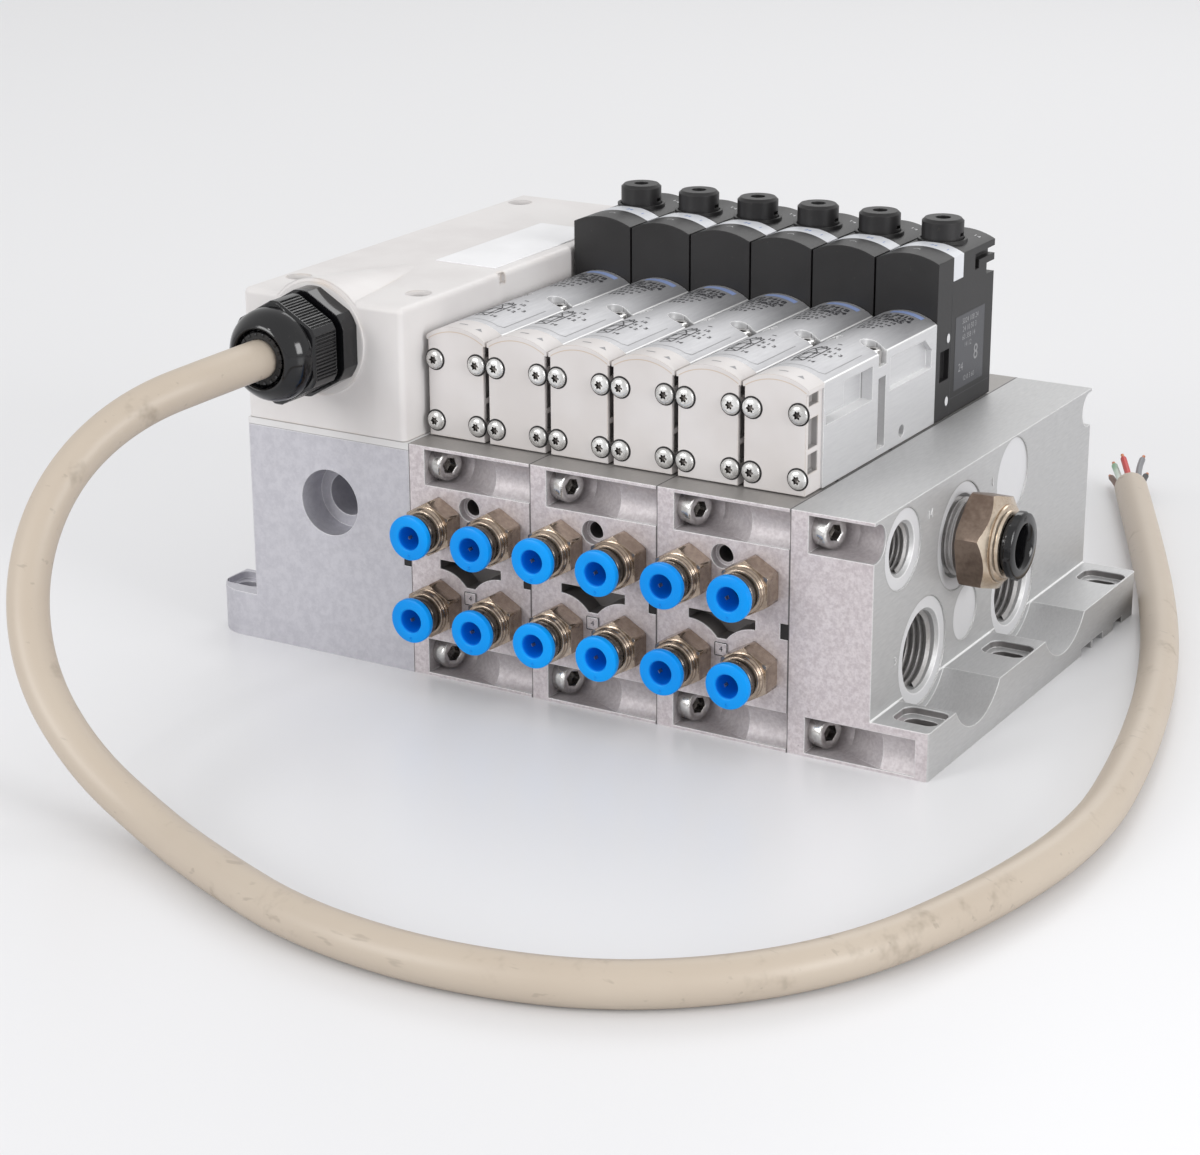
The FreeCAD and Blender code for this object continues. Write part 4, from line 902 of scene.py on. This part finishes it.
# %% Socket cap screws
def socket_screw(head_radius, head_length, shank_radius, shank_length, socket, socket_depth):
    """A cap screw along Z and its socket, which takes a darker steel as painted shade. The head starts at z
    0 and the shank goes down.
    """
    drive = six_sided(socket)
    screw = stacked([
        (shank_radius, -shank_length), (shank_radius, -0.2), (head_radius - 0.25, 0.0),
        (head_radius, 0.25), (head_radius, head_length - 0.7),
        (head_radius - 0.2, head_length - 0.22), (head_radius - 0.7, head_length),
        (socket / 2 + 0.75, head_length), (drive, head_length - 0.3),
        (drive, head_length - socket_depth), (0.5, head_length - socket_depth - 0.4),
    ], sides=36)
    inner = parted(screw, lambda middle: 0 < middle.z < head_length - 0.05
                   and middle.xy.length < socket / 2 + 0.2)
    return screw, inner


tilt = radians(18)
seams = [first_seam + 2 * pitch * step for step in range(4)]
tie_x, tie_y, tie_zs = 5.6, 65.0, (59.2, 5.8)
ties = []
for side in (-1, 1):
    tie_places = [(seam + tie_x, side * tie_y, z) for seam in seams for z in tie_zs]
    for part, metal in zip(socket_screw(4.25, 5.0, 2.5, 15.0, 4.0, 2.6), (socket_steel, steel_painted_shade)):
        placed(part, facing=(cos(tilt), side * sin(tilt), 0))
        ties.append((copies(part, tie_places), metal))
piece("tie_screws_socket", ties, "base", ("tie_screws",))
valve_screw_x, valve_screw_y, valve_screw_z = 5.8, -19.2, 89.4
valve_places = [(x + side * valve_screw_x, valve_screw_y, valve_screw_z)
                for x in valve_xs for side in (-1, 1)]
heads = [copies(part, valve_places) for part in socket_screw(2.75, 4.2, 1.45, 31.0, 2.5, 1.6)]
piece("valve_screws_socket", list(zip(heads, (socket_steel, steel_painted_shade))), "base",
      ("valve_screws",))
print("socket screws:", 2 * len(tie_places) + len(valve_places))

# %% [markdown]
# ## Cable gland
#
# The gland clamps the cable. Its nut is a hexagon with fine ribs for the fingers, which
# runs into a smooth glossy dome. Eighteen small claws in the mouth close on the cable
# when the nut is tightened. The ribs are one more rule on the angle: each flat is
# measured along its width, and every second half millimetre drops back.

# %% Ribbed dome nut with its claws
def ribbed(across, corner, ribs, pitch, depth):
    """The radius of a hexagon with cut corners and ribbed flats, as a rule on the angle."""
    def radius(angle):
        part = (angle + pi / 6) % (pi / 3) - pi / 6
        plain = min(across / 2 / cos(part), corner)
        place = across / 2 * tan(part) / pitch
        in_groove = abs(place) < ribs / 2 and (place + ribs / 2) % 1.0 < 0.5
        return plain - depth if in_groove else plain
    return radius


gland_axis = (-70.5, 90.3)
nut_place = (gland_axis[0], -79.6, gland_axis[1])
ribs_on_flat = 13
ribs = ribbed(25.4, 14.0, ribs_on_flat, 0.95, 0.45)
plain_nut = ribbed(25.4, 14.0, 0, 0.95, 0.0)
small_nut = ribbed(24.6, 13.5, 0, 0.95, 0.0)
nut = stacked([
    (small_nut, 0.0), (plain_nut, 0.4), (ribs, 0.5), (ribs, 9.3), (plain_nut, 9.4),
    (plain_nut, 9.7), (small_nut, 10.2), (12.15, 10.35), (12.15, 10.8), (12.55, 11.1),
    (12.5, 12.0), (12.25, 13.2), (11.75, 14.4), (11.0, 15.5), (10.1, 16.5), (9.35, 17.15),
    (8.75, 17.5), (8.3, 17.55), (8.0, 17.3), (7.85, 16.8), (7.7, 15.2), (7.05, 14.8),
    (7.05, 10.4), (9.85, 10.4), (9.85, 0.0),
], sides=576, closed=True)
claw = bmesh.new()
bmesh.ops.create_cone(claw, cap_ends=True, segments=4, radius1=0.95, radius2=0.6, depth=2.6)
placed(claw, (6.55, 0, 15.6), turn=pi / 4)
claws = copies(claw, turns_round(18))
piece("gland_nut_ribbed", [(placed(nut, nut_place, to_front), gland_plastic),
                           (placed(claws, nut_place, to_front), gland_plastic)],
      "base", ("gland_dome_nut",))
print("gland ribs:", 6 * ribs_on_flat)

# %% [markdown]
# ## Printing inks
#
# The valves carry printed signs. A print is a very thin sheet that lies on the arched top,
# so each sign is drawn flat in millimetres, cut into short lengths, and lifted onto the
# arch. The signs here are the standard symbol for a valve and plain numbers.

# %% Inks
ink = {name: moulded("ink_" + name, light, dark, rough, rounding=0.0) for name, light, dark, rough in (
    ("black", (54, 54, 58), (44, 44, 48), 0.5), ("grey", (150, 150, 152), (138, 138, 140), 0.5),
    ("blue", (146, 164, 206), (134, 152, 196), 0.5), ("white", (214, 214, 216), (200, 200, 202), 0.5),
    ("faint", (66, 66, 68), (58, 58, 60), 0.5), ("panel", (62, 63, 68), (56, 57, 62), 0.3),
    ("tan", (204, 188, 172), (196, 178, 160), 0.5))}
print("inks:", ", ".join(ink))

# %% Flat lines, closed shapes and numbers
def line_print(points, width):
    """A flat line of the given width through points in the XY plane."""
    sheet = bmesh.new()
    for start, end in zip(points, points[1:]):
        a, b = Vector(start), Vector(end)
        along = b - a
        side = Vector((-along.y, along.x)).normalized() * width / 2
        count = max(1, ceil(along.length / 0.7))
        rows = []
        for step in range(count + 1):
            middle = a + along * (step / count)
            rows.append([sheet.verts.new((*(middle + side), 0)), sheet.verts.new((*(middle - side), 0))])
        for row, following in zip(rows, rows[1:]):
            sheet.faces.new((row[0], row[1], following[1], following[0]))
    return sheet


def patch_print(points):
    """A flat filled shape with the given corners in the XY plane."""
    sheet = bmesh.new()
    sheet.faces.new([sheet.verts.new((*point, 0)) for point in points])
    return sheet


def number_print(text, height, place, bold=0.0):
    """A flat number with its middle at a place in the XY plane."""
    return placed(plain_number(text, height, 0.02, bold), (*place, 0))


def box_print(x0, y0, x1, y1, width):
    """The outline of a box."""
    return line_print([(x0, y0), (x1, y0), (x1, y1), (x0, y1), (x0, y0)], width)


body_arch = (95.8, 3.0)
pilot_arch = (111.4, 2.2)
half_valve = 9.2
lift = 0.04


def sag(across, rise):
    """How far an arched top lies below its crown at a distance from the middle."""
    bend = (half_valve ** 2 + rise ** 2) / (2 * rise)
    return bend - sqrt(bend ** 2 - across ** 2)


def on_arch(sheet, centre, arch):
    """Lifts a flat print, drawn about X 0, onto the arched top of a valve."""
    crown, rise = arch
    for vert in sheet.verts:
        vert.co.z += crown + lift - sag(vert.co.x, rise)
        vert.co.x += centre
    return sheet


# %% Signs on the valve bodies
def valve_symbol():
    """The sign of a five-port valve with two places: two boxes with arrows."""
    sheets = []
    for y in (-43.0, -37.6):
        sheets.append(box_print(-4.7, y, 0.5, y + 5.4, 0.42))
    for x0, y0, x1, y1 in ((-3.6, -43.0, -3.6, -37.6), (-0.8, -43.0, -0.8, -37.6),
                           (-3.8, -37.6, -0.6, -32.2), (-0.6, -37.6, -3.8, -32.2)):
        sheets.append(line_print([(x0, y0), (x1, y1)], 0.4))
        sheets.append(line_print([(x1 - 0.6, y1 - 1.3), (x1, y1), (x1 + 0.6, y1 - 1.3)], 0.4))
    sheets.append(box_print(-3.8, -46.2, -0.4, -43.2, 0.4))
    sheets.append(line_print([(-3.8, -43.2), (-0.4, -46.2)], 0.4))
    spring = [(-3.6, -32.0), (-2.8, -30.6), (-2.1, -32.0), (-1.4, -30.6), (-0.6, -32.0)]
    sheets.append(line_print(spring, 0.4))
    return sheets


blacks, greys, blues = [], [], []
for x in valve_xs:
    signs = valve_symbol()
    signs += [number_print(text, 1.5, place, bold=0.05) for text, place in (
        ("14", (1.6, -45.6)), ("12", (2.0, -31.4)), ("4 2", (2.6, -38.2)), ("5 1 3", (3.2, -35.2)))]
    signs.append(line_print([(0.2, -27.4), (1.5, -27.4)], 0.5))
    for row, text in enumerate(("50 2418", "8150 324", "14 2805", "2 4 8 10 12", "1 3 5 12 14",
                                "24 60 2 0", "0 8 0 9")):
        high = 2.1 if row < 3 else 1.3
        signs.append(number_print(text, high, (0.4 - 0.3 * row, 8.0 - 2.6 * row), bold=0.04 * high))
    blacks.append(on_arch(joined(signs), x, body_arch))
    frame_lines = line_print([(-7.6, -28.2), (-7.6, -50.4), (6.2, -50.4), (7.4, -49.2), (7.4, -28.2)], 0.2)
    greys.append(on_arch(frame_lines, x, body_arch))
    blues.append(on_arch(line_print([(-3.2, 11.8), (6.2, 11.8)], 2.3), x, body_arch))
    # Grey sheets painted as the shade of small dents near the cap.
    dent_shade = joined([line_print([(-1.3, -57.4), (1.3, -57.4)], 0.5),
                    patch_print([(4.4, -58.6), (6.2, -58.2), (5.0, -56.8)])])
    greys.append(on_arch(dent_shade, x, body_arch))
piece("body_prints", [(joined(blacks), ink["black"]), (joined(greys), ink["grey"]),
                      (joined(blues), ink["blue"])], "base")
print("printed valves:", len(valve_xs))

# %% Line under the arch of each end cap
lines = []
for x in valve_xs:
    steps = [-8.5 + 17.0 * step / 24 for step in range(25)]
    rule = [(step, 94.5 - sag(step, 3.0)) for step in steps]
    sheet = line_print(rule, 0.22)
    for vert in sheet.verts:
        vert.co = Vector((vert.co.x + x, cap_front - 0.03, vert.co.y))
    lines.append(sheet)
piece("cap_lines", [(joined(lines), ink["tan"])], "base")
print("cap lines:", len(lines))

# %% Signs on the pilot heads
whites, marks = [], []
for x in valve_xs:
    whites.append(on_arch(number_print("14", 1.5, (6.0, 46.6)), x, pilot_arch))
    ring_mark = [(cos(pi * step / 8) * 0.9, 20.0 + sin(pi * step / 8) * 0.7)
                 for step in range(9)]
    whites.append(on_arch(line_print(ring_mark, 0.22), x, pilot_arch))
    counts = joined([number_print("24", 1.5, (1.8, 27.0)), number_print("1", 1.5, (6.0, 27.0))])
    marks.append(on_arch(counts, x, pilot_arch))
side_rows = [number_print(text, 1.6, (-0.4 * row, -2.3 * row)) for row, text in enumerate(
    ("5024 108 24", "24 10 50 3", "60 358 14", "14 12"))]
side_rows += [number_print("8", 4.6, (4.4, -10.6)), number_print("24", 2.4, (-5.6, -12.8)),
              number_print("12 0 3 60", 1.5, (0, -16.4))]
side_lines = [box_print(-9.8, -18.6, 9.8, 2.0, 0.2), line_print([(-12.4, 8.6), (-12.4, -24.4)], 0.25),
              line_print([(-12.4, -20.2), (14.0, -20.2)], 0.25)]
pins = []
for height in (-2.6, -20.2):
    rim = [(cos(tau * step / 20), sin(tau * step / 20)) for step in range(21)]
    pins.append(patch_print([(-14.4 + u, height + 1.3 * v) for u, v in rim[:-1]]))
    side_lines.append(line_print([(-14.4 + 1.3 * u, height + 1.6 * v) for u, v in rim], 0.3))
panel = [patch_print([(-9.8, -18.6), (9.8, -18.6), (9.8, 2.0), (-9.8, 2.0)])]
on_side = [placed(placed(joined(sheets), turn=pi / 2), (out, 36.6, 90.0), to_right)
           for sheets, out in ((side_rows, 71.75), (side_lines, 71.74), (pins, 71.74), (panel, 71.72))]
piece("pilot_prints", [(joined(whites + [on_side[2]]), ink["white"]), (joined(marks), ink["blue"]),
                       (on_side[0], ink["grey"]), (on_side[1], ink["faint"]), (on_side[3], ink["panel"])],
      "base")
print("pilot signs:", len(whites))

# %% [markdown]
# ## Marks on the housing
#
# A label plate lies on the hood, bare and white. The blocks carry a raised square with a
# number in front, and the ports in the right face have small cast numbers beside them.

# %% Label plate, block markers and cast numbers
plate = box((20.0, 56.0, 0.4), (-57.0, 9.0, 101.5))
eased(plate, 0.15)
piece("label_plate", [(plate, label_white)], "base")
marker_signs = []
for x in [seam + pitch for seam in seams[:3]]:
    sheet = joined([box_print(-1.75, -1.75, 1.75, 1.75, 0.22), number_print("4", 1.5, (0, 0))])
    marker_signs.append(placed(sheet, (x, -71.34, 24.6), to_front))
piece("marker_signs", [(joined(marker_signs), ink["black"])], "base")
beside_ports = (("14", -38.6, 58.2), ("3", -57.2, 24.6), ("1", 1.2, 56.0), ("5", 2.6, 33.0))
cast_numbers = [placed(plain_number(text, 2.4, 0.5), (right_face, y, z), to_right, turn=pi / 2)
                for text, y, z in beside_ports]
piece("cast_numbers", [(joined(cast_numbers), cast_block)], "base")
print("marks:", len(marker_signs) + len(cast_numbers) + 1)

# %% [markdown]
# ## Studio
#
# A white table and a plain white surround, as for a catalogue. The surround is pure white
# where the camera, a mirror or glass looks at it, and dimmer as a light source, so that
# pale surfaces keep their shade. Three large soft lamps shape the metal: a key from the
# left, a fill from the right and one from behind. A fourth lamp is small and weak. It
# hardly lights anything, but it puts small crisp glints on glossy edges.

# %% Floor and surround
slab = bmesh.new()
bmesh.ops.create_grid(slab, x_segments=1, y_segments=1, size=6.0)
floor_mesh = bpy.data.meshes.new("floor")
slab.to_mesh(floor_mesh)
slab.free()
floor = shown("floor", floor_mesh)
floor_paint = Finish("floor_paint", Roughness=0.34, Base_Color=(0.73, 0.73, 0.745, 1.0))
seen = floor_paint.node("LightPath", out="Is Camera Ray")
floor_paint.shader.inputs["Emission Strength"].default_value = 0.05
floor_paint.feed("Emission Color", floor_paint.mix(seen, (0, 0, 0), (255, 255, 255)))
floor_mesh.materials.append(floor_paint.material)

world = bpy.data.worlds.new("surround")
world.use_nodes = True
bpy.context.scene.world = world
sky = world.node_tree.nodes
dim = sky["Background"]
dim.inputs["Color"].default_value = (1, 1, 1, 1)
dim.inputs["Strength"].default_value = 0.8
white = sky.new("ShaderNodeBackground")
white.inputs["Strength"].default_value = 1.0
path = sky.new("ShaderNodeLightPath")
join = world.node_tree.links.new
direct = path.outputs["Is Camera Ray"]
for label in ("Is Glossy Ray", "Is Transmission Ray"):
    either = sky.new("ShaderNodeMath")
    either.operation = "MAXIMUM"
    join(direct, either.inputs[0])
    join(path.outputs[label], either.inputs[1])
    direct = either.outputs[0]
choice = sky.new("ShaderNodeMixShader")
for index, signal in enumerate((direct, dim.outputs[0], white.outputs[0])):
    join(signal, choice.inputs[index])
join(choice.outputs[0], sky["World Output"].inputs["Surface"])

# %% Soft lamps
def soft_lamp(name, place, size, watts):
    """A square lamp that faces the middle of the object."""
    light = bpy.data.lights.new(name, "AREA")
    light.size = size
    light.energy = watts
    lamp = shown(name, light)
    turn = (Vector((0, 0, 0.05)) - Vector(place)).to_track_quat("-Z", "Y").to_matrix().to_4x4()
    lamp.matrix_world = Matrix.Translation(place) @ turn


soft_lamp("key", (-0.7, -1.4, 0.6), 0.6, 7.5)
soft_lamp("fill", (1.4, -0.3, 0.5), 0.6, 9)
soft_lamp("back", (-0.15, 1.2, 1.1), 0.7, 3.5)
soft_lamp("glints", (-0.35, -1.1, 1.0), 0.06, 0.8)
bpy.context.scene.view_settings.view_transform = "Standard"
print("lamps: 4")

# %% [markdown]
# ## Finish
#

# %% Update the scene
bpy.context.view_layer.update()
